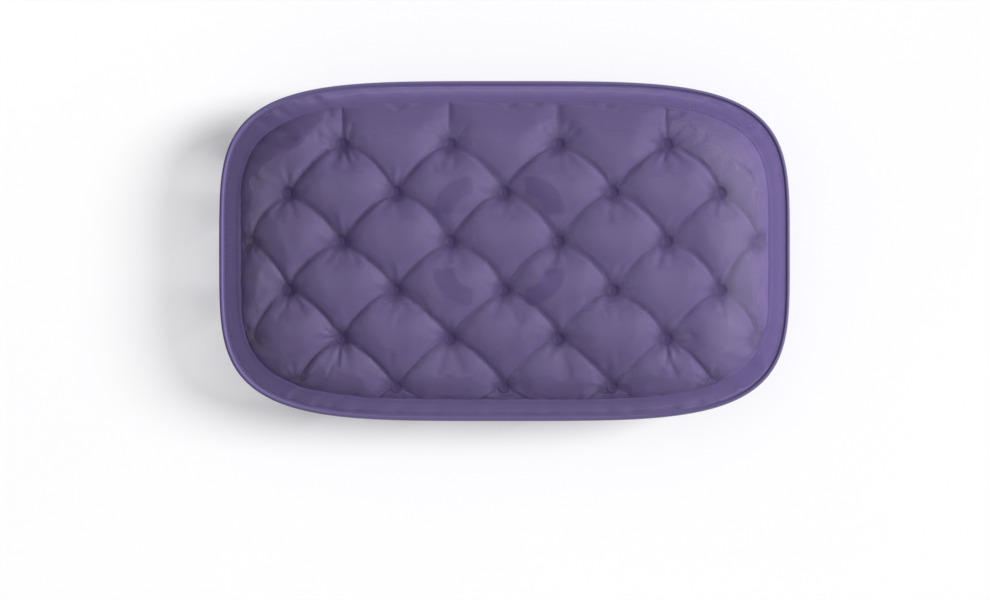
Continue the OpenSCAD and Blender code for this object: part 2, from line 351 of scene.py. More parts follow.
@dataclass(frozen=True)
class GripCloth:
    """A dense hook-and-loop grip cloth."""

    name: str
    light: Color
    dark: Color
    hook: float = 0.0012
    hook_height: float = 0.0004
    unevenness: float = 0.35
    wear_scale: float = 80.0
    roughness: tuple[float, float] = (0.7, 0.9)
    sheen: float = 0.25
    specular: float = 0.3

    def build(self) -> bpy.types.Material:
        """Builds the material.

        Returns:
            The material.
        """
        bench = NodeBench(self.name)
        dots = bench.add("ShaderNodeTexVoronoi")
        dots.inputs["Scale"].default_value = 1.0 / self.hook
        dots.inputs["Randomness"].default_value = self.unevenness
        bench.join(bench.place, dots.inputs["Vector"])
        hooks = bench.spread(dots.outputs["Distance"], 1.0, 0.0)
        bench.join(bench.blend(hooks, self.dark, self.light), bench.shader.inputs["Base Color"])
        bench.join(bench.bump(hooks, self.hook_height), bench.shader.inputs["Normal"])
        rough = bench.spread(bench.noise(self.wear_scale), *self.roughness)
        bench.join(rough, bench.shader.inputs["Roughness"])
        bench.constants(Sheen_Weight=self.sheen, Specular_IOR_Level=self.specular)
        return bench.material


@dataclass(frozen=True)
class TwistedTrim:
    """A corded edge trim with a diagonal twist."""

    name: str
    light: Color
    dark: Color
    pitch: float = 0.0016
    twist: Place = (30.0, 20.0, 40.0)
    twist_depth: float = 0.00025
    fine_thread: float = 0.0006
    fine_depth: float = 0.00005
    wear_scale: float = 30.0
    wear_share: float = 0.4
    roughness: tuple[float, float] = (0.5, 0.75)
    sheen: float = 0.3
    specular: float = 0.35

    def build(self) -> bpy.types.Material:
        """Builds the material.

        Returns:
            The material.
        """
        bench = NodeBench(self.name)
        twist = bench.threads(self.pitch, self.twist)
        fine = bench.weave(self.fine_thread)
        wear = bench.noise(self.wear_scale, 4.0)
        color = bench.blend(twist, self.dark, self.light)
        color = bench.blend(bench.spread(wear, 0.0, self.wear_share), color, self.light)
        bench.join(color, bench.shader.inputs["Base Color"])
        strands = bench.bump(twist, self.twist_depth)
        bench.join(bench.bump(fine, self.fine_depth, strands), bench.shader.inputs["Normal"])
        bench.join(bench.spread(wear, *self.roughness), bench.shader.inputs["Roughness"])
        bench.constants(Sheen_Weight=self.sheen, Specular_IOR_Level=self.specular)
        return bench.material


@dataclass(frozen=True)
class Moulded:
    """A moulded plastic or rubber with a fine grain and handling marks."""

    name: str
    light: Color
    dark: Color
    roughness: float = 0.42
    grain: float = 0.00002
    specular: float = 0.5
    cloud_scale: float = 120.0
    grain_scale: float = 2600.0
    mark_scale: float = 300.0
    mark_stretch: Place = (1.0, 6.0, 1.0)
    wear: tuple[float, float] = (-0.1, 0.12)

    def build(self) -> bpy.types.Material:
        """Builds the material.

        Returns:
            The material.
        """
        bench = NodeBench(self.name)
        cloud = bench.noise(self.cloud_scale, 5.0)
        grain = bench.noise(self.grain_scale, 2.0)
        marks = bench.noise(self.mark_scale, 2.0, self.mark_stretch)
        bench.join(bench.blend(cloud, self.dark, self.light), bench.shader.inputs["Base Color"])
        least, most = (self.roughness + change for change in self.wear)
        rough = bench.spread(marks, least, most)
        bench.join(rough, bench.shader.inputs["Roughness"])
        bench.join(bench.bump(grain, self.grain), bench.shader.inputs["Normal"])
        bench.constants(Specular_IOR_Level=self.specular)
        return bench.material


@dataclass(frozen=True)
class DrawnWire:
    """A steel pin with fine drawing lines."""

    name: str
    light: Color
    dark: Color
    line_scale: float = 900.0
    line_stretch: Place = (0.1, 1.0, 1.0)
    line_depth: float = 0.00002
    roughness: tuple[float, float] = (0.22, 0.4)

    def build(self) -> bpy.types.Material:
        """Builds the material.

        Returns:
            The material.
        """
        bench = NodeBench(self.name)
        lines = bench.noise(self.line_scale, 3.0, self.line_stretch)
        bench.join(bench.blend(lines, self.dark, self.light), bench.shader.inputs["Base Color"])
        bench.join(bench.spread(lines, *self.roughness), bench.shader.inputs["Roughness"])
        bench.join(bench.bump(lines, self.line_depth), bench.shader.inputs["Normal"])
        bench.constants(Metallic=1.0)
        return bench.material


@dataclass(frozen=True)
class PaleFloor:
    """The plain pale floor."""

    name: str
    light: Color
    dark: Color
    cloud_scale: float = 1.5
    roughness: float = 0.9
    specular: float = 0.1

    def build(self) -> bpy.types.Material:
        """Builds the material.

        Returns:
            The material.
        """
        bench = NodeBench(self.name)
        tone = bench.blend(bench.noise(self.cloud_scale, 2.0), self.dark, self.light)
        bench.join(tone, bench.shader.inputs["Base Color"])
        bench.constants(Roughness=self.roughness, Specular_IOR_Level=self.specular)
        return bench.material


COVER_CLOTH = SheerCloth("sheer_violet_cover", (0.105, 0.068, 0.215), (0.08, 0.05, 0.17),
                         alpha=0.31, roughness=0.58, sheen=0.35, sheen_tint=(0.62, 0.5, 0.95))
# The core film's near-black violet is painted shade for its folds and tie hollows.
CORE_CLOTH = SheerCloth("frosted_core_film", (0.162, 0.12, 0.268), (0.125, 0.092, 0.215),
                        alpha=0.6, roughness=0.62, sheen=0.05, thread=0.0006,
                        painted_shade_color=(0.012, 0.008, 0.03))
TAPE_CLOTH = SheerCloth("seam_tape", (0.125, 0.095, 0.24), (0.10, 0.075, 0.195))
TIE_CLOTH = SheerCloth("tie_strap", (0.12, 0.10, 0.2), (0.09, 0.07, 0.15))
PIPING_CORD = TwistedTrim("piping_cord", (0.12, 0.088, 0.23), (0.09, 0.066, 0.18))
STITCH_THREAD = TwistedTrim("stitch_thread", (0.17, 0.135, 0.31), (0.12, 0.095, 0.24),
                            pitch=0.0006)
BINDING_CLOTH = TwistedTrim("opening_binding", (0.16, 0.12, 0.27), (0.11, 0.08, 0.19),
                            pitch=0.0011)
GRIP_CLOTH = GripCloth("grip_patch", (0.035, 0.026, 0.06), (0.012, 0.009, 0.022))
# The welds' near-black violet is partly the weld film's own colour and partly painted shade,
# standing for the shade in each tie's dimple.
WELD_FILM_AND_SHADE = Moulded("tie_weld", (0.048, 0.034, 0.086), (0.035, 0.025, 0.065),
                    roughness=0.55, specular=0.2)
RIM_FILM = Moulded("rim_weld", (0.125, 0.095, 0.23), (0.10, 0.075, 0.185),
                   roughness=0.55, specular=0.25)
VALVE_SHELL = Moulded("valve_body", (0.13, 0.115, 0.18), (0.10, 0.088, 0.14))
VALVE_LID = Moulded("valve_lid", (0.07, 0.06, 0.10), (0.05, 0.043, 0.075), roughness=0.36)
VALVE_BUTTON = Moulded("flap_button", (0.42, 0.16, 0.05), (0.33, 0.11, 0.035))
SEAL_RUBBER = Moulded("seal", (0.30, 0.28, 0.31), (0.24, 0.22, 0.25), roughness=0.6)
# The flap's dark grey is partly its own rubber and partly painted shade, standing for the shadow
# that the valve's parts no longer cast on it.
FLAP_RUBBER_AND_SHADE = Moulded("flap_rubber", (0.09, 0.08, 0.11), (0.07, 0.062, 0.088), roughness=0.5)
PIN_STEEL = DrawnWire("pin_steel", (0.62, 0.62, 0.64), (0.48, 0.48, 0.5))
FLOOR_PAINT = PaleFloor("pale_floor", (0.9, 0.9, 0.9), (0.86, 0.86, 0.87))


class Wardrobe:
    """Builds each finish once and puts it on pieces."""

    def __init__(self) -> None:
        """Starts with no finish built."""
        self.built: dict[str, bpy.types.Material] = {}

    def dress(self, piece: bpy.types.Object, finish: object) -> None:
        """Puts a finish on a piece in place of what it wore.

        Args:
            piece: the piece to dress.
            finish: a finish with a name and a build method.
        """
        if finish.name not in self.built:
            self.built[finish.name] = finish.build()
        material = self.built[finish.name]
        if piece.material_slots:
            for slot in piece.material_slots:
                slot.material = material
        else:
            piece.data.materials.append(material)


# ---------------------------------------------------------------- shape tools


def outline_share(x: np.ndarray, y: np.ndarray) -> np.ndarray:
    """How far out a point lies, as a share of the outline at 1.

    Args:
        x: places over the half length.
        y: places over the half depth.

    Returns:
        The shares.
    """
    return (np.abs(x) ** OUTLINE_POWER + np.abs(y) ** OUTLINE_POWER) ** (1 / OUTLINE_POWER)


def round_steps(count: int) -> list[float]:
    """Angles that step evenly round a full turn."""
    return [FULL_TURN * k / count for k in range(count)]


def new_piece(name: str, points: np.ndarray, faces: Sequence[Sequence[int]],
              smooth: bool = True) -> bpy.types.Object:
    """Makes a mesh piece and adds it to the scene.

    Args:
        name: the piece's name.
        points: its vertices in metres.
        faces: vertex numbers of each face.
        smooth: whether it is shaded smooth.

    Returns:
        The piece.
    """
    mesh = bpy.data.meshes.new(name)
    mesh.from_pydata([tuple(p) for p in points], [], [tuple(f) for f in faces])
    mesh.update()
    mesh.polygons.foreach_set("use_smooth", [smooth] * len(mesh.polygons))
    piece = bpy.data.objects.new(name, mesh)
    bpy.context.scene.collection.objects.link(piece)
    return piece


def read_points(mesh: bpy.types.Mesh) -> np.ndarray:
    """Reads a mesh's vertices.

    Args:
        mesh: the mesh.

    Returns:
        One row of X, Y and Z per vertex.
    """
    flat = np.empty(len(mesh.vertices) * 3)
    mesh.vertices.foreach_get("co", flat)
    return flat.reshape(-1, 3)


def write_points(mesh: bpy.types.Mesh, points: np.ndarray) -> None:
    """Sets the mesh's vertices from an array of rows."""
    mesh.vertices.foreach_set("co", points.ravel())
    mesh.update()


def note(mesh: bpy.types.Mesh, name: str, values: np.ndarray) -> None:
    """Writes one number per vertex under a name."""
    mark = mesh.attributes.get(name) or mesh.attributes.new(name, "FLOAT", "POINT")
    mark.data.foreach_set("value", np.asarray(values, dtype=np.float32))


def noted(mesh: bpy.types.Mesh, name: str) -> np.ndarray:
    """Reads the numbers that were noted under a name.

    Args:
        mesh: the mesh.
        name: the name they were noted under.

    Returns:
        One number per vertex.
    """
    values = np.empty(len(mesh.vertices), dtype=np.float32)
    mesh.attributes[name].data.foreach_get("value", values)
    return values.astype(float)


def refine(piece: bpy.types.Object) -> None:
    """Subdivides a piece once and keeps the finer mesh.

    Args:
        piece: the piece to refine.
    """
    even = piece.modifiers.new("even", "SUBSURF")
    even.levels = even.render_levels = 1
    done = piece.evaluated_get(bpy.context.evaluated_depsgraph_get())
    fine = bpy.data.meshes.new_from_object(done)
    piece.modifiers.remove(even)
    piece.data = fine
    fine.name = piece.name


def take_panel(form: bpy.types.Object, name: str, seam: float, face: Side) -> bpy.types.Object:
    """Copies one face of a closed form into a piece of its own.

    Args:
        form: the closed form.
        name: the new piece's name.
        seam: the height of the form's seam.
        face: the face to take.

    Returns:
        The new piece.
    """
    mesh = bmesh.new()
    mesh.from_mesh(form.data)
    other = [f for f in mesh.faces if (f.calc_center_median().z - seam) * face.value < 0]
    bmesh.ops.delete(mesh, geom=other, context="FACES")
    area = sum(f.calc_area() for f in mesh.faces)
    cut = bpy.data.meshes.new(name)
    mesh.to_mesh(cut)
    mesh.free()
    panel = bpy.data.objects.new(name, cut)
    bpy.context.scene.collection.objects.link(panel)
    LOG.info("%s: %.4f m2 of cloth", name, area)
    return panel


def surface_of(piece: bpy.types.Object) -> BVHTree:
    """A search tree over a piece's own mesh."""
    corners = [v.co for v in piece.data.vertices]
    return BVHTree.FromPolygons(corners, [p.vertices[:] for p in piece.data.polygons])


def ring_strip(name: str, rows: Sequence[Sequence[Vector]]) -> bpy.types.Object:
    """Makes a closed ring from a closed section at each stop round it.

    Args:
        name: the piece's name.
        rows: one section of points per stop.

    Returns:
        The piece.
    """
    size, stops = len(rows[0]), len(rows)
    points = np.array([p[:] for row in rows for p in row])
    faces = []
    for i in range(stops):
        j = (i + 1) % stops
        for k in range(size):
            m = (k + 1) % size
            faces.append((i * size + k, j * size + k, j * size + m, i * size + m))
    piece = new_piece(name, points, faces)
    mesh = bmesh.new()
    mesh.from_mesh(piece.data)
    bmesh.ops.recalc_face_normals(mesh, faces=mesh.faces)
    mesh.to_mesh(piece.data)
    mesh.free()
    return piece


@dataclass
class Tubes:
    """Short capped tubes gathered into one piece."""

    sides: int
    points: list[Vector] = field(default_factory=list)
    faces: list[tuple[int, ...]] = field(default_factory=list)

    def add(self, rings: Sequence[Sequence[Vector]]) -> None:
        """Adds a tube through rings of points, with a cap at each end.

        Args:
            rings: the rings in order, each with one point per side.
        """
        base = len(self.points)
        for ring in rings:
            self.points.extend(ring)
        for i in range(len(rings) - 1):
            low, high = base + i * self.sides, base + (i + 1) * self.sides
            for k in range(self.sides):
                m = (k + 1) % self.sides
                self.faces.append((low + k, low + m, high + m, high + k))
        end = base + (len(rings) - 1) * self.sides
        self.faces.append(tuple(base + k for k in reversed(range(self.sides))))
        self.faces.append(tuple(end + k for k in range(self.sides)))

    def piece(self, name: str) -> bpy.types.Object:
        """Makes one piece of all the tubes."""
        return new_piece(name, np.array([p[:] for p in self.points]), self.faces)


# A stitch's places along its thread, with the thread's width and its lift at each.
THREAD_STOPS = ((-0.5, 0.3, -0.5), (-0.32, 0.9, 0.1), (0.0, 1.0, 0.3), (0.32, 0.9, 0.1),
                (0.5, 0.3, -0.5))


@dataclass
class Stitches:
    """Rows of single stitches, each a short rounded thread."""

    length: float = 3.0 * MM
    radius: float = 0.35 * MM
    sides: int = 6

    def sew(self, name: str, spots: Sequence[Spot]) -> bpy.types.Object:
        """Sews one stitch at each spot.

        Args:
            name: the piece's name.
            spots: each stitch's middle, direction along the seam and outward normal.

        Returns:
            The stitches as one piece.
        """
        tubes = Tubes(self.sides)
        for middle, run, out in spots:
            side = run.cross(out).normalized()
            rings = []
            for place, width, lift in THREAD_STOPS:
                heart = middle + run * (place * self.length) + out * (lift * self.radius)
                rays = [side * math.cos(a) + out * math.sin(a) for a in round_steps(self.sides)]
                rings.append([heart + ray * (self.radius * width) for ray in rays])
            tubes.add(rings)
        return tubes.piece(name)


@dataclass
class AirPressure:
    """Blows up a closed cloth form and keeps the result in its mesh."""

    pressure: float
    slack: float
    bending: float
    cap: float
    tension: float = 15.0
    shear: float = 5.0
    mass: float = 0.3
    quality: int = 5
    frames: int = 20

    def blow(self, piece: bpy.types.Object, held: np.ndarray) -> None:
        """Runs the cloth and writes its last frame back, with each point's move capped.

        Args:
            piece: the closed form.
            held: how firmly each vertex is held, from 0 to 1.
        """
        start = read_points(piece.data)
        group = piece.vertex_groups.new(name="held")
        for index in np.nonzero(held > 0)[0]:
            group.add([int(index)], float(held[index]), "REPLACE")
        cloth = piece.modifiers.new("air", "CLOTH")
        feel = cloth.settings
        feel.quality = self.quality
        feel.mass = self.mass
        feel.tension_stiffness = feel.compression_stiffness = self.tension
        feel.shear_stiffness = self.shear
        feel.bending_stiffness = self.bending
        feel.use_pressure = True
        feel.uniform_pressure_force = self.pressure
        feel.shrink_min = -self.slack
        feel.vertex_group_mass = group.name
        feel.effector_weights.gravity = 0.0
        cloth.collision_settings.use_collision = False
        cloth.point_cache.frame_start = 1
        cloth.point_cache.frame_end = self.frames
        scene = bpy.context.scene
        for number in range(1, self.frames + 1):
            scene.frame_set(number)
        blown = piece.evaluated_get(bpy.context.evaluated_depsgraph_get())
        move = read_points(blown.data) - start
        size = np.linalg.norm(move, axis=1, keepdims=True)
        move *= np.minimum(1.0, self.cap / np.maximum(size, TINY))
        piece.modifiers.remove(cloth)
        piece.vertex_groups.remove(group)
        write_points(piece.data, start + move)
        scene.frame_set(1)


@dataclass
class CushionForm:
    """A closed cushion form with a seam round its superellipse outline."""

    half_length: float
    half_depth: float
    seam: float
    top: float
    bottom: float
    crown_power: float = 3.0
    base_power: float = 4.0
    base_level: float = 0.5
    cells_long: int = 132
    cells_deep: int = 84
    even_share: float = 0.3
    crowded_share: float = 0.7

    def stops(self, cells: int) -> np.ndarray:
        """Places from -1 to 1, closer together near the seam.

        Args:
            cells: the number of cells across.

        Returns:
            The places.
        """
        even = np.linspace(-1.0, 1.0, cells + 1)
        return self.even_share * even + self.crowded_share * np.sin(even * math.pi / 2)

    def top_height(self, share: np.ndarray) -> np.ndarray:
        """The smooth crown's height at a share of the outline."""
        fall = np.sqrt(np.clip(1.0 - share ** self.crown_power, 0.0, 1.0))
        return self.seam + (self.top - self.seam) * fall

    def bottom_height(self, share: np.ndarray) -> np.ndarray:
        """The smooth underside's height, flat in the middle and rising to the seam.

        Args:
            share: how far out, as a share of the outline.

        Returns:
            The height at each share.
        """
        fall = np.sqrt(np.clip(1.0 - share ** self.base_power, 0.0, 1.0))
        full = math.sqrt(1.0 - self.base_level ** self.base_power)
        return self.seam - (self.seam - self.bottom) * np.minimum(fall / full, 1.0)

    def share_of(self, points: np.ndarray) -> np.ndarray:
        """How far out each point lies as a share of the outline."""
        return outline_share(points[:, 0] / self.half_length, points[:, 1] / self.half_depth)

    def build(self, name: str) -> tuple[bpy.types.Object, np.ndarray]:
        """Makes the closed form.

        Args:
            name: the piece's name.

        Returns:
            The piece, and for each vertex 1 on the top, -1 on the bottom and 0 on the seam.
        """
        across, deep = self.stops(self.cells_long), self.stops(self.cells_deep)
        u, v = np.meshgrid(across, deep, indexing="ij")
        reach = np.maximum(np.abs(u), np.abs(v))
        far = np.maximum(reach, TINY)
        squeeze = np.maximum(outline_share(u / far, v / far), TINY)
        x, y = self.half_length * u / squeeze, self.half_depth * v / squeeze
        rim = reach > 1.0 - 1e-6
        top = np.stack([x, y, self.top_height(reach)], axis=-1)
        low = np.stack([x, y, self.bottom_height(reach)], axis=-1)
        top[rim, 2] = self.seam
        number = np.arange(top.shape[0] * top.shape[1]).reshape(top.shape[:2])
        under = number.copy()
        under[~rim] = number.size + np.arange(np.count_nonzero(~rim))
        points = np.concatenate([top.reshape(-1, 3), low[~rim]])
        side = np.concatenate([np.where(rim, 0, 1).ravel(), -np.ones(np.count_nonzero(~rim))])
        faces = []
        for i in range(self.cells_long):
            for j in range(self.cells_deep):
                faces.append((number[i, j], number[i + 1, j],
                              number[i + 1, j + 1], number[i, j + 1]))
                faces.append((under[i, j], under[i, j + 1],
                              under[i + 1, j + 1], under[i + 1, j]))
        faces = [tuple(int(n) for n in f) for f in faces]
        return new_piece(name, points, faces), side


class ValveSeat:
    """Where the valve sits: its middle on the flange's face and its three directions."""

    PORT_RISE = 2.3 * MM
    NEAR = 30 * MM
    RING_STOPS = 96
    RING_CELLS = 8
    START_OFF = 20 * MM
    LONGEST_RAY = 60 * MM
    MISS_DEPTH = 22 * MM
    EDGE_RISE = 0.25
    SUNK = 0.3 * MM

    def __init__(self) -> None:
        """Reads the valve's place from the record."""
        record = frame["record"]
        port = next(m for m in record["mounts"] if m["name"] == "valve_port")
        hinges = {j["name"]: j for j in record["behaviour"]["joints"]}
        self.out = Vector(port["axis"]).normalized()
        self.up = Vector(hinges["cap_hinge"]["axis"]).normalized()
        self.along = self.up.cross(self.out).normalized()
        self.middle = Vector(port["pos_m"]) - self.out * self.PORT_RISE
        axes = Matrix((self.along, self.up, self.out)).transposed().to_4x4()
        self.place = Matrix.Translation(self.middle) @ axes

    def local(self, points: np.ndarray) -> np.ndarray:
        """Points as the valve sees them: along the slope, up the slope, outward."""
        turn = np.array([self.along[:], self.up[:], self.out[:]])
        return (points - np.array(self.middle[:])) @ turn.T

    def open_round(self, piece: bpy.types.Object, radius: float) -> None:
        """Cuts a round hole in a fabric form at the valve and rounds its edge.

        Args:
            piece: the fabric form.
            radius: the hole's radius in metres.
        """
        mesh = bmesh.new()
        mesh.from_mesh(piece.data)
        back = self.place.inverted()
        gone = []
        for vert in mesh.verts:
            spot = back @ vert.co
            if abs(spot.z) < self.NEAR and math.hypot(spot.x, spot.y) < radius:
                gone.append(vert)
        bmesh.ops.delete(mesh, geom=gone, context="VERTS")
        for edge in mesh.edges:
            if edge.is_boundary:
                for vert in edge.verts:
                    spot = back @ vert.co
                    reach = math.hypot(spot.x, spot.y)
                    round_x, round_y = spot.x * radius / reach, spot.y * radius / reach
                    vert.co = self.place @ Vector((round_x, round_y, spot.z))
        mesh.to_mesh(piece.data)
        mesh.free()

    def ray_at(self, angle: float) -> Vector:
        """The direction across the valve at an angle."""
        return self.along * math.cos(angle) + self.up * math.sin(angle)

    def ring_on(self, name: str, fabric: bpy.types.Object, inner: float, outer: float,
                height: float) -> bpy.types.Object:
        """Lays a rounded ring on the fabric round the valve.

        Args:
            name: the ring's name.
            fabric: the form it lies on.
            inner: its inner radius.
            outer: its outer radius.
            height: how far it stands proud.

        Returns:
            The ring.
        """
        tree = surface_of(fabric)
        rows = []
        for a in round_steps(self.RING_STOPS):
            ray = self.ray_at(a)
            upper, lower = [], []
            for k in range(self.RING_CELLS + 1):
                t = k / self.RING_CELLS
                reach = inner + (outer - inner) * t
                start = self.middle + ray * reach + self.out * self.START_OFF
                hit = tree.ray_cast(start, -self.out, self.LONGEST_RAY)[0]
                spot = hit if hit is not None else start - self.out * self.MISS_DEPTH
                dome = math.sqrt(max(0.0, 1 - (2 * t - 1) ** 2))
                rise = height * (self.EDGE_RISE + (1 - self.EDGE_RISE) * dome)
                upper.append(spot + self.out * rise)
                lower.append(spot - self.out * self.SUNK)
            rows.append(upper + lower[::-1])
        return ring_strip(name, rows)


# ---------------------------------------------------------------- sub-assemblies


@dataclass
class Cover:
    """The sheer cover with its piping, seam tape and seam stitches."""

    wardrobe: Wardrobe
    seat: ValveSeat
    pucker: float = 1.1 * MM
    pucker_reach: float = 15 * MM
    pucker_start: float = 0.7
    flat_round_valve: float = 26 * MM
    valve_fade: float = 20 * MM
    held_round_valve: float = 30 * MM
    held_deep: float = 25 * MM
    resting_margin: float = 0.04
    lowest: float = 0.8 * MM
    crown_room: float = 1.5 * MM
    hole: float = 13.9 * MM
    stitch_pitch: float = 4.6 * MM
    stitch_rise: float = 3.4 * MM
    stitch_lift: float = 0.12 * MM
    stitch_start: float = 20 * MM
    longest_ray: float = 60 * MM
    bead: float = 2.2 * MM
    bead_sides: int = 12
    edge_pitch: float = 4 * MM
    tape_width: float = 14 * MM
    tape_half: float = 0.4 * MM
    tape_tip: float = 0.2 * MM
    tape_lap: float = 0.4 * MM
    tape_corner: float = 35.0
    binding: tuple[float, float, float] = (17.4 * MM, 22.3 * MM, 0.9 * MM)
    binding_edge: float = 1.1 * MM
    binding_lift: float = 0.1 * MM
    binding_stitches: int = 44
    cut_size: tuple[float, float] = (0.62, 0.40)
    cut_area: float = 0.225

    def __post_init__(self) -> None:
        """Takes the cover's sizes from the CAD."""
        top_low, top_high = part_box("cover_top_panel")
        base_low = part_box("cover_bottom_panel")[0]
        pipe_low, pipe_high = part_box("seam_piping")
        self.pipe_half = (pipe_high - pipe_low) / 2
        seam = (pipe_low.z + pipe_high.z) / 2
        self.form = CushionForm(top_high.x, top_high.y, seam, top_high.z, base_low.z)

    def sew(self) -> bpy.types.Object:
        """Makes the blown-up cover and its two panels.

        Returns:
            The form that both panels are taken from.
        """
        piece, side = self.form.build("cover_form")
        points = read_points(piece.data)
        share = self.form.share_of(points)
        self.gather(points, share, side)
        write_points(piece.data, points)
        valve = self.seat.local(points)
        beside = np.hypot(valve[:, 0], valve[:, 1]) < self.held_round_valve
        by_valve = beside & (np.abs(valve[:, 2]) < self.held_deep)
        resting = (side < 0) & (share < self.form.base_level + self.resting_margin)
        held = np.where((side == 0) | by_valve | resting, 1.0, 0.0)
        AirPressure(pressure=2.0, slack=0.012, bending=0.6, cap=3 * MM).blow(piece, held)
        points = read_points(piece.data)
        points[:, 2] = np.clip(points[:, 2], self.lowest, self.form.top + self.crown_room)
        write_points(piece.data, points)
        self.seat.open_round(piece, self.hole)
        refine(piece)
        self.wardrobe.dress(piece, COVER_CLOTH)
        self.piece = piece
        for face in Side:
            self.panel(face)
        return piece

    def put_away(self) -> None:
        """Removes the working form once the panels and the stitches are made."""
        bpy.data.objects.remove(self.piece)

    def panel(self, face: Side) -> None:
        """Takes one panel of the cover off the blown-up form.

        Args:
            face: the panel's side.
        """
        panel = take_panel(self.piece, f"cover_{face.name.lower()}", self.form.seam, face)
        self.wardrobe.dress(panel, COVER_CLOTH)
        panel.visible_shadow = face is Side.BOTTOM
        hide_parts(f"cover_{face.name.lower()}_panel")
        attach(panel, Body.PILLOW.value)

    def gather(self, points: np.ndarray, share: np.ndarray, side: np.ndarray) -> None:
        """Adds the small puckers that a seam draws into the cloth.

        Args:
            points: the form's points, changed in place.
            share: each point's share of the outline.
            side: which face each point is on.
        """
        turn = np.arctan2(points[:, 1] / self.form.half_depth,
                          points[:, 0] / self.form.half_length)
        rise = np.abs(points[:, 2] - self.form.seam)
        # Three rows of folds round the seam, so that no pucker looks like the next.
        wide = np.sin(61 * turn + 1.3 * np.sin(5 * turn))
        middling = 0.7 * np.sin(97 * turn + 2.0 * np.sin(3 * turn + 1))
        waves = wide + middling + 0.5 * np.sin(149 * turn + side)
        corner = 0.55 + 0.6 * np.abs(np.sin(2 * turn)) ** 2
        reach = rise / self.pucker_reach
        fade = reach * np.exp(1 - reach) * (share > self.pucker_start)
        out = np.stack([np.cos(turn), np.sin(turn), 0.7 * side], axis=1)
        valve = self.seat.local(points)
        beside = np.hypot(valve[:, 0], valve[:, 1])
        away = np.clip((beside - self.flat_round_valve) / self.valve_fade, 0, 1)
        lift = -0.5 * self.pucker * (1 + waves / 1.6) * corner * fade * away
        points += out * lift[:, None]

    def outline(self, inset: float, turn: float, rise: float) -> Vector:
        """A point on a line round the pillow.

        Args:
            inset: the distance inside the piping's outer edge.
            turn: the direction in radians.
            rise: the height over the seam.

        Returns:
            The point.
        """
        squeeze = outline_share(np.array(math.cos(turn)), np.array(math.sin(turn)))
        x = (self.pipe_half.x - inset) * math.cos(turn) / squeeze
        y = (self.pipe_half.y - inset) * math.sin(turn) / squeeze
        return Vector((x, y, self.form.seam + rise))

    def turns(self, pitch: float) -> list[float]:
        """Directions that step evenly along the outline.

        Args:
            pitch: the distance between steps.

        Returns:
            The directions in radians.
        """
        fine = np.linspace(0, FULL_TURN, 4001)
        line = np.array([self.outline(0.0, t, 0.0)[:] for t in fine])
        steps = np.linalg.norm(np.diff(line, axis=0), axis=1)
        run = np.concatenate([[0], np.cumsum(steps)])
        count = int(run[-1] / pitch)
        return list(np.interp(np.arange(count) * run[-1] / count, run, fine))

    def edge(self) -> None:
        """Makes the piping bead and the flat tape inside the seam."""
        bead_rows, tape_rows = [], []
        start, end = 2 * self.bead - self.tape_lap, 2 * self.bead + self.tape_width
        for turn in self.turns(self.edge_pitch):
            heart, outer = self.outline(self.bead, turn, 0), self.outline(0, turn, 0)
            ray = (outer - heart).normalized()
            section = []
            for a in round_steps(self.bead_sides):
                rise = Vector((0, 0, self.bead * math.sin(a)))
                section.append(heart + ray * (self.bead * math.cos(a)) + rise)
            bead_rows.append(section)
            corners = ((start, self.tape_half), (end, self.tape_tip), (end, -self.tape_tip),
                       (start, -self.tape_half))
            tape_rows.append([self.outline(inset, turn, rise) for inset, rise in corners])
        piping = ring_strip("piping", bead_rows)
        self.wardrobe.dress(piping, PIPING_CORD)
        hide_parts("seam_piping")
        tape = ring_strip("seam_tape", tape_rows)
        tape.data.set_sharp_from_angle(angle=math.radians(self.tape_corner))
        self.wardrobe.dress(tape, TAPE_CLOTH)
        for piece in (piping, tape):
            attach(piece, Body.PILLOW.value)
            LOG.info("%s: %d points", piece.name, len(piece.data.vertices))

    def stitch(self) -> None:
        """Sews a row of stitches over and under the piping."""
        tree = surface_of(self.piece)
        for side in Side:
            spots = []
            rise = side.value * self.stitch_rise
            turns = self.turns(self.stitch_pitch)
            line = [self.outline(-self.stitch_start, turn, rise) for turn in turns]
            for i, start in enumerate(line):
                run = (line[(i + 1) % len(line)] - line[i - 1]).normalized()
                inward = Vector((-start.x, -start.y, 0)).normalized()
                flat = run.cross(Vector((0, 0, 1))).normalized()
                inward = -flat if flat.dot(inward) < 0 else flat
                spot, normal, _, _ = tree.ray_cast(start, inward, self.longest_ray)
                if spot is None:
                    continue
                normal = -normal if normal.dot(inward) > 0 else normal
                spots.append((spot + normal * self.stitch_lift, run, normal))
            piece = Stitches().sew(f"seam_stitches_{side.name.lower()}", spots)
            self.wardrobe.dress(piece, STITCH_THREAD)
            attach(piece, Body.PILLOW.value)
            LOG.info("%s: %d stitches", piece.name, len(spots))

    def bind_opening(self) -> None:
        """Lays the bound edge round the valve's opening, with its stitches."""
        inner, outer, height = self.binding
        ring = self.seat.ring_on("opening_binding", self.piece, inner, outer, height)
        self.wardrobe.dress(ring, BINDING_CLOTH)
        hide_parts("valve_opening_binding")
        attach(ring, Body.PILLOW.value)
        tree, spots, out = surface_of(ring), [], self.seat.out
        for a in round_steps(self.binding_stitches):
            ray = self.seat.ray_at(a)
            run = self.seat.up * math.cos(a) - self.seat.along * math.sin(a)
            start = self.seat.middle + ray * (outer - self.binding_edge) + out * self.seat.START_OFF
            hit = tree.ray_cast(start, -out, self.longest_ray)[0]
            if hit is not None:
                spots.append((hit + out * self.binding_lift, run, out))
        stitches = Stitches(length=2.0 * MM, radius=0.28 * MM).sew("binding_stitches", spots)
        self.wardrobe.dress(stitches, STITCH_THREAD)
        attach(stitches, Body.PILLOW.value)
        LOG.info("opening_binding: %d stitches", len(spots))


# A tie's places from its low end to its high end, with its radius in millimetres at each.
TIE_STOPS = ((0.0, 2.6), (0.06, 2.0), (0.5, 1.6), (0.94, 2.0), (1.0, 2.6))

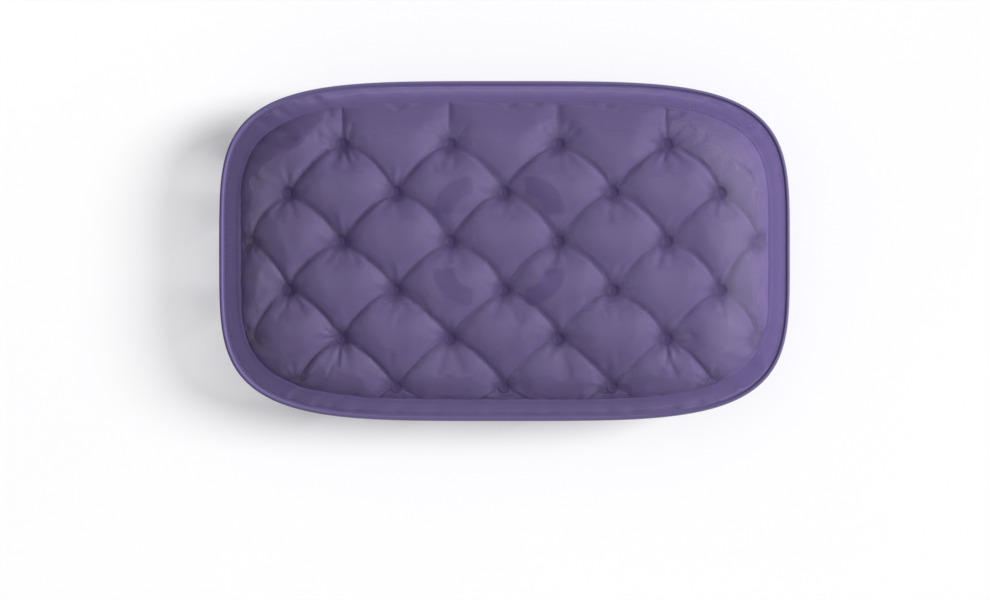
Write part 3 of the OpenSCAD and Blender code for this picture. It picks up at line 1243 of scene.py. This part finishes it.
# A round weld's section from its middle outwards and back: radius and height in millimetres.
WELD_SECTION = ((0.0, 0.5), (1.6, 0.5), (3.6, 0.35), (4.6, 0.9), (5.6, 1.1), (6.4, 0.7),
                (6.7, -0.2), (4.0, -0.5), (0.0, -0.5))

# The welded rim's section: inset from the edge and height over the seam in millimetres.
RIM_SECTION = ((0.0, 0.35), (1.6, 0.5), (3.2, 0.5), (5.0, 0.4), (5.0, -0.4), (3.2, -0.5),
               (1.6, -0.5), (0.0, -0.35))


@dataclass
class AirCore:
    """The tied air core: two sheets, a welded rim, ties and their round welds."""

    wardrobe: Wardrobe
    seat: ValveSeat
    cover: Cover
    tie_pitch: float = 106 * MM
    row_gap: float = 47.5 * MM
    rear_row: float = 104 * MM
    rows: int = 6
    columns: int = 5
    tie_limit: float = 0.9
    tuck_limit: float = 1.03
    tuck_share: float = 0.94
    tuck_edge: float = 0.96
    beyond_limit: float = 1.6
    weld_radius: float = 6.5 * MM
    weld_sides: int = 28
    tie_sides: int = 10
    dimple: float = 24 * MM
    dimple_reach: float = 42 * MM
    deepest_share: float = 0.5
    crease: float = 0.58
    crease_reach: float = 34 * MM
    longest_crease: float = 80 * MM
    arch: float = 6 * MM
    arch_change: float = 0.25
    wander: float = 0.5 * MM
    fan_depth: float = 0.05
    fan_ring: float = 14 * MM
    fan_width: float = 7 * MM
    groove: float = 1.1 * MM
    groove_width: float = 1.6 * MM
    # Painted shade: a dark disc round each tie and tuck, and a thin dark line along each crease.
    painted_shade_radius: float = 12.5 * MM
    painted_shade_share: float = 0.7
    painted_crease_width: float = 1.3 * MM
    painted_crease_share: float = 0.9
    flat_round_valve: float = 20 * MM
    valve_fade: float = 15 * MM
    crown_room: float = 0.9 * MM
    scored_share: float = 0.97
    shaded_share: float = 0.995
    rim_width: float = 4 * MM
    rim_pitch: float = 2.5 * MM
    rim_rib: float = 0.12 * MM
    rim_corner: float = 35.0
    hole: float = 13.2 * MM
    barrel_ring: tuple[float, float, float] = (13.2 * MM, 18.2 * MM, 0.8 * MM)
    cut_size: tuple[float, float] = (0.60, 0.38)
    cut_area: float = 0.205

    def __post_init__(self) -> None:
        """Takes the core's sizes from the CAD and places its ties."""
        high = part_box("core_top_sheet")[1]
        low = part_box("core_bottom_sheet")[0]
        self.full = (high.x, high.y)
        self.form = CushionForm(high.x - self.rim_width, high.y - self.rim_width,
                                self.cover.form.seam, high.z, low.z,
                                cells_long=176, cells_deep=112)
        self.ties, self.tucks, self.beyond = [], [], []
        for j in range(-1, self.rows + 1):
            # The line behind the rear row repeats its places, so those creases run straight back.
            shift = 0.5 if j < 0 or j % 2 == 0 else 0.0
            for i in range(-self.columns, self.columns + 1):
                x = (i + shift) * self.tie_pitch
                y = self.rear_row - j * self.row_gap
                share = self.core_share(x, y)
                inside = 0 <= j < self.rows
                if inside and share <= self.tie_limit:
                    self.ties.append((x, y))
                elif inside and share < self.tuck_limit:
                    self.tucks.append(self.pulled_in(x, y))
                elif j != 0 and share < self.beyond_limit:
                    self.beyond.append((x, y))

    def core_share(self, x: float, y: float) -> float:
        """How far out a place lies, as a share of the core's own outline."""
        return float(outline_share(np.array(x / self.full[0]), np.array(y / self.full[1])))

    def pulled_in(self, x: float, y: float) -> tuple[float, float]:
        """Moves a tuck that is too near the edge to where the core has some depth.

        Args:
            x: its place along the pillow.
            y: its place across it.

        Returns:
            The new place.
        """
        x = math.copysign(min(abs(x), self.tuck_share * self.full[0]), x)
        pull_in = min(1.0, self.tuck_edge / self.core_share(x, y))
        return x * pull_in, y * pull_in

    def creases(self, x: np.ndarray, y: np.ndarray) -> np.ndarray:
        """The distance to the nearest crease, each an arch from one tie to the next.

        Args:
            x: places along the pillow.
            y: places across it.

        Returns:
            The distance at each place.
        """
        nearest = np.full_like(x, 1.0)
        spots = self.ties + self.tucks + self.beyond
        for a, (ax, ay) in enumerate(spots):
            for b in range(a + 1, len(spots)):
                bx, by = spots[b]
                gap = math.hypot(bx - ax, by - ay)
                untied = a >= len(self.ties) and b >= len(self.ties)
                if gap > self.longest_crease or untied:
                    continue
                run_x, run_y = (bx - ax) / gap, (by - ay) / gap
                flip = 1 if run_x > 0 else -1
                along = (x - ax) * run_x + (y - ay) * run_y
                off = flip * (run_x * (y - ay) - run_y * (x - ax))
                share = np.clip(along / gap, 0, 1)
                change = 1 + self.arch_change * math.sin(7 * a + 3 * b)
                bow = self.arch * min(1.0, 1.35 * abs(run_x)) * change
                arch = bow * 4 * share * (1 - share)
                wander = self.wander * np.sin(90 * along + a)
                beyond_end = np.maximum(np.maximum(-along, along - gap), 0)
                nearest = np.minimum(nearest, np.hypot(off - arch - wander, beyond_end))
        return nearest

    def hollows(self, x: np.ndarray, y: np.ndarray) -> np.ndarray:
        """How far the ties and creases pull the sheet in, as a share of a full dimple.

        Args:
            x: places along the pillow.
            y: places across it.

        Returns:
            The pull at each place.
        """
        pull = np.zeros_like(x)
        for number, (tx, ty) in enumerate(self.ties + self.tucks):
            dx, dy = x - tx, y - ty
            far = np.hypot(dx, dy)
            angle = np.arctan2(dy, dx)
            cup = self.rounded(np.maximum(far - 0.7 * self.weld_radius, 0) / self.dimple_reach)
            band = np.exp(-((far - self.fan_ring) / self.fan_width) ** 2)
            # Two rows of small folds fan out from each tie, turned a little from tie to tie.
            fan = np.sin(9 * angle + 1.7 * number) + 0.6 * np.sin(14 * angle + 2.9 * number)
            pull = np.maximum(pull, cup + self.fan_depth * band * fan)
        valley = self.rounded(self.creases(x, y) / self.crease_reach)
        return np.maximum(pull, 0) + self.crease * valley * (1 - np.clip(pull, 0, 1))

    @staticmethod
    def rounded(away: np.ndarray) -> np.ndarray:
        """A round dome's fall towards a sharp valley, from 1 in the valley to 0 at a share of 1."""
        return 1 - np.sqrt(np.clip(1 - (1 - np.clip(away, 0, 1)) ** 2, 0, 1))

    def shade(self, x: np.ndarray, y: np.ndarray) -> np.ndarray:
        """How much painted shade darkens the folds, from 0 to 1: a dark disc round each tie and
        tuck, and a thin dark line along each crease.

        Args:
            x: places along the pillow.
            y: places across it.

        Returns:
            The darkness at each place.
        """
        # Painted shade: a dark disc round each tie and tuck, then a thin dark line along each
        # crease.
        dark = np.zeros_like(x)
        for tx, ty in self.ties + self.tucks:
            far = np.hypot(x - tx, y - ty)
            dark = np.maximum(dark, np.exp(-(far / self.painted_shade_radius) ** 4))
        line = np.exp(-(self.creases(x, y) / self.painted_crease_width) ** 2)
        return np.clip(self.painted_shade_share * dark + self.painted_crease_share * line * (1 - dark), 0, 1)

    def depth_at(self, share: np.ndarray, side: np.ndarray) -> np.ndarray:
        """The full depth of a dimple, less where the core is thin.

        Args:
            share: how far out, as a share of the outline.
            side: which face each point is on.

        Returns:
            The depth at each point.
        """
        thick = np.where(side > 0, self.form.top_height(share) - self.form.seam,
                         self.form.seam - self.form.bottom_height(share))
        return np.minimum(self.dimple, self.deepest_share * thick)

    def blow(self) -> bpy.types.Object:
        """Makes the blown-up core and its two sheets.

        Returns:
            The form that both sheets are taken from.
        """
        piece, side = self.form.build("core_form")
        smooth = read_points(piece.data)
        share = self.form.share_of(smooth)
        valve = self.seat.local(smooth)
        beside = np.hypot(valve[:, 0], valve[:, 1])
        away = np.clip((beside - self.flat_round_valve) / self.valve_fade, 0, 1)
        away = np.where(side < 0, away, 1.0)
        depth = self.depth_at(share, side) * away
        pull = np.minimum(self.hollows(smooth[:, 0], smooth[:, 1]), 1.1)
        points = smooth.copy()
        points[:, 2] -= np.sign(side) * depth * pull
        write_points(piece.data, points)
        near = np.min([np.hypot(points[:, 0] - x, points[:, 1] - y) for x, y in self.ties], axis=0)
        held = np.where((near < self.weld_radius) | (side == 0) | (away < 0.5), 1.0, 0.0)
        air = AirPressure(pressure=4.0, slack=0.03, bending=0.1, tension=12.0, cap=2.5 * MM)
        air.blow(piece, held)
        points = read_points(piece.data)
        share_now = self.form.share_of(points)
        ceiling = self.form.top_height(share_now) + self.crown_room
        ground = self.form.bottom_height(share_now) - self.crown_room
        below, above = np.minimum(points[:, 2], ceiling), np.maximum(points[:, 2], ground)
        points[:, 2] = np.where(side > 0, below, above)
        write_points(piece.data, points)
        self.floors = {s: self.dimple_floor(points, side, s) for s in Side}
        note(piece.data, "sewn_x", smooth[:, 0])
        note(piece.data, "sewn_y", smooth[:, 1])
        clear = away > 0.5
        note(piece.data, "face", np.sign(side) * (share < self.scored_share) * clear)
        # Marks where the painted shade of the folds may be laid: inside the rim and away from the
        # valve.
        note(piece.data, "seen", 1.0 * (share < self.shaded_share) * clear)
        self.seat.open_round(piece, self.hole)
        refine(piece)
        self.score(piece)
        self.piece = piece
        for face in Side:
            self.panel(face)
        LOG.info("core: %d points, %d ties", len(points), len(self.ties))
        return piece

    def panel(self, face: Side) -> None:
        """Takes one sheet of the core off the blown-up form.

        Args:
            face: the sheet's side.
        """
        sheet = take_panel(self.piece, f"core_{face.name.lower()}", self.form.seam, face)
        self.wardrobe.dress(sheet, CORE_CLOTH)
        sheet.visible_shadow = False
        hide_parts(f"core_{face.name.lower()}_sheet")
        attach(sheet, Body.PILLOW.value)

    def put_away(self) -> None:
        """Removes the working form once the sheets and the welds are made."""
        bpy.data.objects.remove(self.piece)

    def score(self, piece: bpy.types.Object) -> None:
        """Presses the thin crease lines into the fine sheet and notes the painted shade of its
        folds.

        Args:
            piece: the refined core.
        """
        mesh = piece.data
        x, y, face = noted(mesh, "sewn_x"), noted(mesh, "sewn_y"), noted(mesh, "face")
        points = read_points(mesh)
        line = np.exp(-(self.creases(x, y) / self.groove_width) ** 2)
        points[:, 2] -= face * self.groove * line
        write_points(mesh, points)
        # Painted shade of the folds, round the ties and tucks and along the creases.
        note(mesh, "hollow", self.shade(x, y) * noted(mesh, "seen"))

    def dimple_floor(self, points: np.ndarray, side: np.ndarray, face: Side) -> list[float]:
        """The height of the sheet at each tie.

        Args:
            points: the blown form's points.
            side: which face each point is on.
            face: the face to read.

        Returns:
            One height per tie.
        """
        mine = points[side == face.value]
        floors = []
        for x, y in self.ties:
            close = np.argsort(np.hypot(mine[:, 0] - x, mine[:, 1] - y))[:3]
            floors.append(float(mine[close, 2].mean()))
        return floors

    def tie(self) -> None:
        """Makes the ties, and the round weld at each end of each."""
        straps = Tubes(self.tie_sides)
        for number, (x, y) in enumerate(self.ties):
            low, high = self.floors[Side.BOTTOM][number], self.floors[Side.TOP][number]
            rings = []
            for t, radius in TIE_STOPS:
                level = low + (high - low) * t
                rings.append([Vector((x + radius * MM * math.cos(a), y + radius * MM * math.sin(a),
                                      level)) for a in round_steps(self.tie_sides)])
            straps.add(rings)
        ties = straps.piece("ties")
        self.wardrobe.dress(ties, TIE_CLOTH)
        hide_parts("core_ties")
        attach(ties, Body.PILLOW.value)
        self.welds(Side.TOP, "core_top_tie_welds")
        self.welds(Side.BOTTOM, "core_bottom_tie_welds")
        LOG.info("ties: %d", len(self.ties))

    def welds(self, face: Side, node: str) -> None:
        """Makes the round welds of one face: a dished disc with a raised edge.

        Args:
            face: the face they are on.
            node: the CAD node that they stand for.
        """
        count, rings = self.weld_sides, len(WELD_SECTION) - 2
        points: list[tuple[float, float, float]] = []
        faces: list[tuple[int, ...]] = []
        for number, (x, y) in enumerate(self.ties):
            level = self.floors[face][number]
            base = len(points)
            points.append((x, y, level + face.value * WELD_SECTION[0][1] * MM))
            for radius, lift in WELD_SECTION[1:-1]:
                height = level + face.value * lift * MM
                for a in round_steps(count):
                    points.append((x + radius * MM * math.cos(a), y + radius * MM * math.sin(a),
                                   height))
            points.append((x, y, level + face.value * WELD_SECTION[-1][1] * MM))
            last, end = len(points) - 1, base + 1 + (rings - 1) * count
            for k in range(count):
                m = (k + 1) % count
                loop = [(base, base + 1 + k, base + 1 + m)]
                for i in range(rings - 1):
                    a, b = base + 1 + i * count, base + 1 + (i + 1) * count
                    loop.append((a + k, b + k, b + m, a + m))
                loop.append((end + k, last, end + m))
                faces += loop if face is Side.TOP else [f[::-1] for f in loop]
        piece = new_piece(f"tie_welds_{face.name.lower()}", np.array(points), faces)
        self.wardrobe.dress(piece, WELD_FILM_AND_SHADE)
        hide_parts(node)
        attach(piece, Body.PILLOW.value)

    def weld_rim(self) -> None:
        """Makes the flat welded rim with its pressed ribs."""
        rows = []
        for number, turn in enumerate(self.cover.turns(self.rim_pitch)):
            squeeze = float(outline_share(np.array(math.cos(turn)), np.array(math.sin(turn))))
            rib = self.rim_rib * (1 if number % 2 else -1)
            section = []
            for inset, lift in RIM_SECTION:
                x = (self.full[0] - inset * MM) * math.cos(turn) / squeeze
                y = (self.full[1] - inset * MM) * math.sin(turn) / squeeze
                ribbed = lift * MM + (math.copysign(rib, lift) if 1 < inset < 4 else 0.0)
                section.append(Vector((x, y, self.form.seam + ribbed)))
            rows.append(section)
        rim = ring_strip("core_rim", rows)
        rim.data.set_sharp_from_angle(angle=math.radians(self.rim_corner))
        self.wardrobe.dress(rim, RIM_FILM)
        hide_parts("core_rim_weld")
        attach(rim, Body.PILLOW.value)
        LOG.info("core_rim: %d stops", len(rows))

    def seal_valve(self) -> None:
        """Lays the ring that welds the valve's barrel to the core."""
        ring = self.seat.ring_on("barrel_weld", self.piece, *self.barrel_ring)
        self.wardrobe.dress(ring, RIM_FILM)
        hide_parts("valve_weld_ring")
        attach(ring, Body.PILLOW.value)
        LOG.info("barrel_weld laid")


@dataclass
class GripPatches:
    """The four quarter-ring grip patches under the pillow and their stitches."""

    wardrobe: Wardrobe
    outer: float = 37 * MM
    width: float = 18.3 * MM
    edge: float = 1.7 * MM
    stitch_pitch: float = 3.6 * MM
    stitch_level: float = 0.12 * MM
    outer_sweep: tuple[float, float] = (5.0, 85.0)
    inner_sweep: tuple[float, float] = (82.0, 8.0)

    def fit(self) -> None:
        """Dresses the patches and sews them on."""
        for node in ("lock_patch_front_left", "lock_patch_front_right",
                     "lock_patch_rear_left", "lock_patch_rear_right"):
            patch = frame["nodes"][node]
            self.wardrobe.dress(patch, GRIP_CLOTH)
            low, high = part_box(node)
            side_x = 1 if node.endswith("right") else -1
            side_y = 1 if "rear" in node else -1
            heart = Vector((high.x if side_x < 0 else low.x, high.y if side_y < 0 else low.y,
                            self.stitch_level))
            spots = self.ring_spots(heart, side_x, side_y)
            name = node.replace("lock_patch", "patch_stitches")
            stitches = Stitches(length=2.4 * MM, radius=0.3 * MM).sew(name, spots)
            self.wardrobe.dress(stitches, STITCH_THREAD)
            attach(stitches, Body.PILLOW.value)
            LOG.info("%s: %d stitches", node, len(spots))

    def ring_spots(self, heart: Vector, side_x: int, side_y: int) -> list[Spot]:
        """Places stitches just inside a quarter ring's edge.

        Args:
            heart: the quarter ring's own middle.
            side_x: which way along X it opens.
            side_y: which way along Y it opens.

        Returns:
            The stitches' spots.
        """
        down = Vector((0, 0, -1))
        far, near = self.outer - self.edge, self.outer - self.width + self.edge
        line: list[Vector] = []
        for radius, (start, end) in ((far, self.outer_sweep), (near, self.inner_sweep)):
            count = max(3, int(math.radians(abs(end - start)) * radius / self.stitch_pitch))
            for i in range(count + 1):
                a = math.radians(start + (end - start) * i / count)
                line.append(Vector((side_x * radius * math.cos(a),
                                    side_y * radius * math.sin(a), 0)))
            steps = int((far - near) / self.stitch_pitch)
            for i in range(1, steps):
                reach = near + (far - near) * (i / steps if radius == near else 1 - i / steps)
                along_y = (side_x * self.edge, side_y * reach)
                along_x = (side_x * reach, side_y * self.edge)
                line.append(Vector((*(along_y if radius == far else along_x), 0)))
        spots = []
        for i, spot in enumerate(line):
            run = (line[(i + 1) % len(line)] - line[i - 1]).normalized()
            spots.append((heart + spot, run, down))
        return spots


# A rib's places along its half span, with its thickness at each.
RIB_STOPS = ((-1.0, 0.35), (-0.92, 0.85), (-0.75, 1.0), (0.75, 1.0), (0.92, 0.85), (1.0, 0.35))


@dataclass
class Valve:
    """The valve's own parts: base, collar, flap and cap, with grips and ribs."""

    wardrobe: Wardrobe
    seat: ValveSeat
    soft_edge: float = 0.25 * MM
    soft_corner: float = 50.0
    sides: int = 8
    bead_stops: int = 96
    bead_height: float = 0.7
    rib: float = 0.35 * MM
    cap_top: float = 4.4 * MM
    cap_rib_sink: float = 0.1 * MM
    collar_tab: float = 1.7 * MM

    def dress(self) -> None:
        """Gives each carried-over part its finish."""
        wear = {
            "valve_base": VALVE_SHELL, "valve_collar": VALVE_LID, "inflation_cap": VALVE_SHELL,
            "collar_seal": SEAL_RUBBER, "cap_seal": SEAL_RUBBER, "valve_flap": FLAP_RUBBER_AND_SHADE,
            "flap_stem": VALVE_BUTTON, "collar_hinge_pin": PIN_STEEL, "cap_hinge_pin": PIN_STEEL,
        }
        for node, finish in wear.items():
            part = frame["nodes"][node]
            self.wardrobe.dress(part, finish)
            # The valve's parts cast no shadow; the flap's darker finish is painted shade in its
            # place.
            part.visible_shadow = False
            if node in ("valve_base", "valve_collar", "inflation_cap"):
                soften = part.modifiers.new("soften", "BEVEL")
                soften.width = self.soft_edge
                soften.segments = 2
                soften.limit_method = "ANGLE"
                soften.angle_limit = math.radians(self.soft_corner)
                soften.harden_normals = False
            LOG.info("%s dressed", node)

    def bar(self, name: str, body: Body, finish: Moulded,
            marks: Sequence[tuple[Vector, Vector]]) -> None:
        """Makes a set of small rounded ribs.

        Args:
            name: the piece's name.
            body: the body that they ride on.
            finish: their finish.
            marks: each rib's middle and half span in the valve's own axes.
        """
        ribs = Tubes(self.sides)
        up = Vector((0, 0, 1))
        for middle, half in marks:
            side = half.normalized().cross(up).normalized()
            rings = []
            for place, width in RIB_STOPS:
                heart = middle + half * place
                rays = [side * math.cos(a) + up * math.sin(a) for a in round_steps(self.sides)]
                rings.append([self.seat.place @ (heart + ray * self.rib * width) for ray in rays])
            ribs.add(rings)
        piece = ribs.piece(name)
        self.wardrobe.dress(piece, finish)
        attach(piece, body.value)
        LOG.info("%s: %d ribs", name, len(marks))

    def raised_ring(self, name: str, body: Body, finish: Moulded,
                    sizes: tuple[float, float, float]) -> None:
        """Makes a raised round bead on a flat face of the valve.

        Args:
            name: the bead's name.
            body: the body that it rides on.
            finish: its finish.
            sizes: its radius round the valve's axis, the face's height and half its width.
        """
        radius, level, size = sizes
        rows = []
        for a in round_steps(self.bead_stops):
            ray = Vector((math.cos(a), math.sin(a), 0))
            section = []
            for b in round_steps(self.sides):
                rise = Vector((0, 0, level + self.bead_height * size * math.sin(b)))
                section.append(self.seat.place @ (ray * (radius + size * math.cos(b)) + rise))
            rows.append(section)
        piece = ring_strip(name, rows)
        self.wardrobe.dress(piece, finish)
        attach(piece, body.value)
        LOG.info("%s added", name)

    def detail(self) -> None:
        """Adds grip ribs to the tabs and beads to the faces."""
        cap_level = self.cap_top - self.cap_rib_sink
        self.bar("cap_tab_ribs", Body.CAP, VALVE_SHELL,
                 [(Vector((-x * MM, 0, cap_level)), Vector((0, 2.4 * MM, 0)))
                  for x in (10.8, 12.0, 13.2)])
        self.bar("collar_tab_ribs", Body.COLLAR, VALVE_LID,
                 [(Vector((0, -y * MM, self.collar_tab)), Vector((3.2 * MM, 0, 0)))
                  for y in (14.9, 16.0, 17.0)])
        self.raised_ring("cap_bead", Body.CAP, VALVE_SHELL, (7.6 * MM, self.cap_top, 0.35 * MM))
        self.raised_ring("cap_inner_bead", Body.CAP, VALVE_SHELL,
                         (3.2 * MM, self.cap_top, 0.3 * MM))
        self.raised_ring("collar_bead", Body.COLLAR, VALVE_LID, (12.6 * MM, 2.3 * MM, 0.3 * MM))
        self.raised_ring("flange_bead", Body.PILLOW, VALVE_SHELL, (16.2 * MM, 0.0, 0.3 * MM))


@dataclass
class Studio:
    """The floor, the soft lights and the camera."""

    wardrobe: Wardrobe
    floor_level: float = -0.5 * MM
    distance: float = 3.0
    picture_width: float = 0.978
    aim: tuple[float, float] = (-0.0094, -0.0484)
    sensor: float = 36.0
    floor_half: float = 6.0
    key_place: Place = (1.9, 0.35, 1.2)
    key_power: float = 5.2
    key_angle: float = 24.0
    top_place: Place = (0.2, 0.6, 2.6)
    top_size: float = 2.4
    top_power: float = 4.0
    air_color: tuple[float, float, float, float] = (0.97, 0.98, 1.0, 1.0)
    air_strength: float = 0.22

    def build(self, seam: float) -> None:
        """Sets the stage.

        Args:
            seam: the height at which the picture's width is measured.
        """
        square = ((-1, -1), (1, -1), (1, 1), (-1, 1))
        corners = np.array([(x * self.floor_half, y * self.floor_half, self.floor_level)
                            for x, y in square])
        floor = new_piece("floor", corners, [(0, 1, 2, 3)], smooth=False)
        self.wardrobe.dress(floor, FLOOR_PAINT)
        key = bpy.data.lights.new("key", "SUN")
        key.energy = self.key_power
        key.angle = math.radians(self.key_angle)
        self.hang(key, self.key_place)
        top = bpy.data.lights.new("top", "AREA")
        top.size = self.top_size
        top.energy = self.top_power
        self.hang(top, self.top_place)
        world = bpy.data.worlds.new("studio")
        world.use_nodes = True
        air = world.node_tree.nodes["Background"]
        air.inputs["Color"].default_value = self.air_color
        air.inputs["Strength"].default_value = self.air_strength
        bpy.context.scene.world = world
        bpy.context.scene.view_settings.view_transform = "Standard"
        lens = bpy.data.cameras.new("camera")
        lens.sensor_width = self.sensor
        lens.lens = self.sensor * self.distance / self.picture_width
        camera = bpy.data.objects.new("camera", lens)
        camera.location = (*self.aim, seam + self.distance)
        bpy.context.scene.collection.objects.link(camera)
        bpy.context.scene.camera = camera
        LOG.info("studio set")

    @staticmethod
    def hang(lamp: bpy.types.Light, place: Place) -> None:
        """Hangs a lamp and aims it at the pillow.

        Args:
            lamp: the lamp.
            place: where it hangs.
        """
        holder = bpy.data.objects.new(lamp.name, lamp)
        holder.location = place
        holder.rotation_euler = (-Vector(place)).to_track_quat("-Z", "Y").to_euler()
        bpy.context.scene.collection.objects.link(holder)


# Thin trim that would cast a hard ring of shadow through the sheer cloth.
SHADOWLESS = ("core_rim", "piping", "seam_tape", "seam_stitches_top", "seam_stitches_bottom")


def main() -> None:
    """Builds the pillow piece by piece and sets the stage."""
    wardrobe = Wardrobe()
    seat = ValveSeat()
    cover = Cover(wardrobe, seat)
    cover.sew()
    cover.edge()
    cover.stitch()
    cover.bind_opening()
    core = AirCore(wardrobe, seat, cover)
    core.blow()
    core.tie()
    core.weld_rim()
    core.seal_valve()
    cover.put_away()
    core.put_away()
    for name in SHADOWLESS:
        bpy.data.objects[name].visible_shadow = False
    GripPatches(wardrobe).fit()
    valve = Valve(wardrobe, seat)
    valve.dress()
    valve.detail()
    Studio(wardrobe).build(cover.form.seam)


if __name__ == "__main__":
    main()
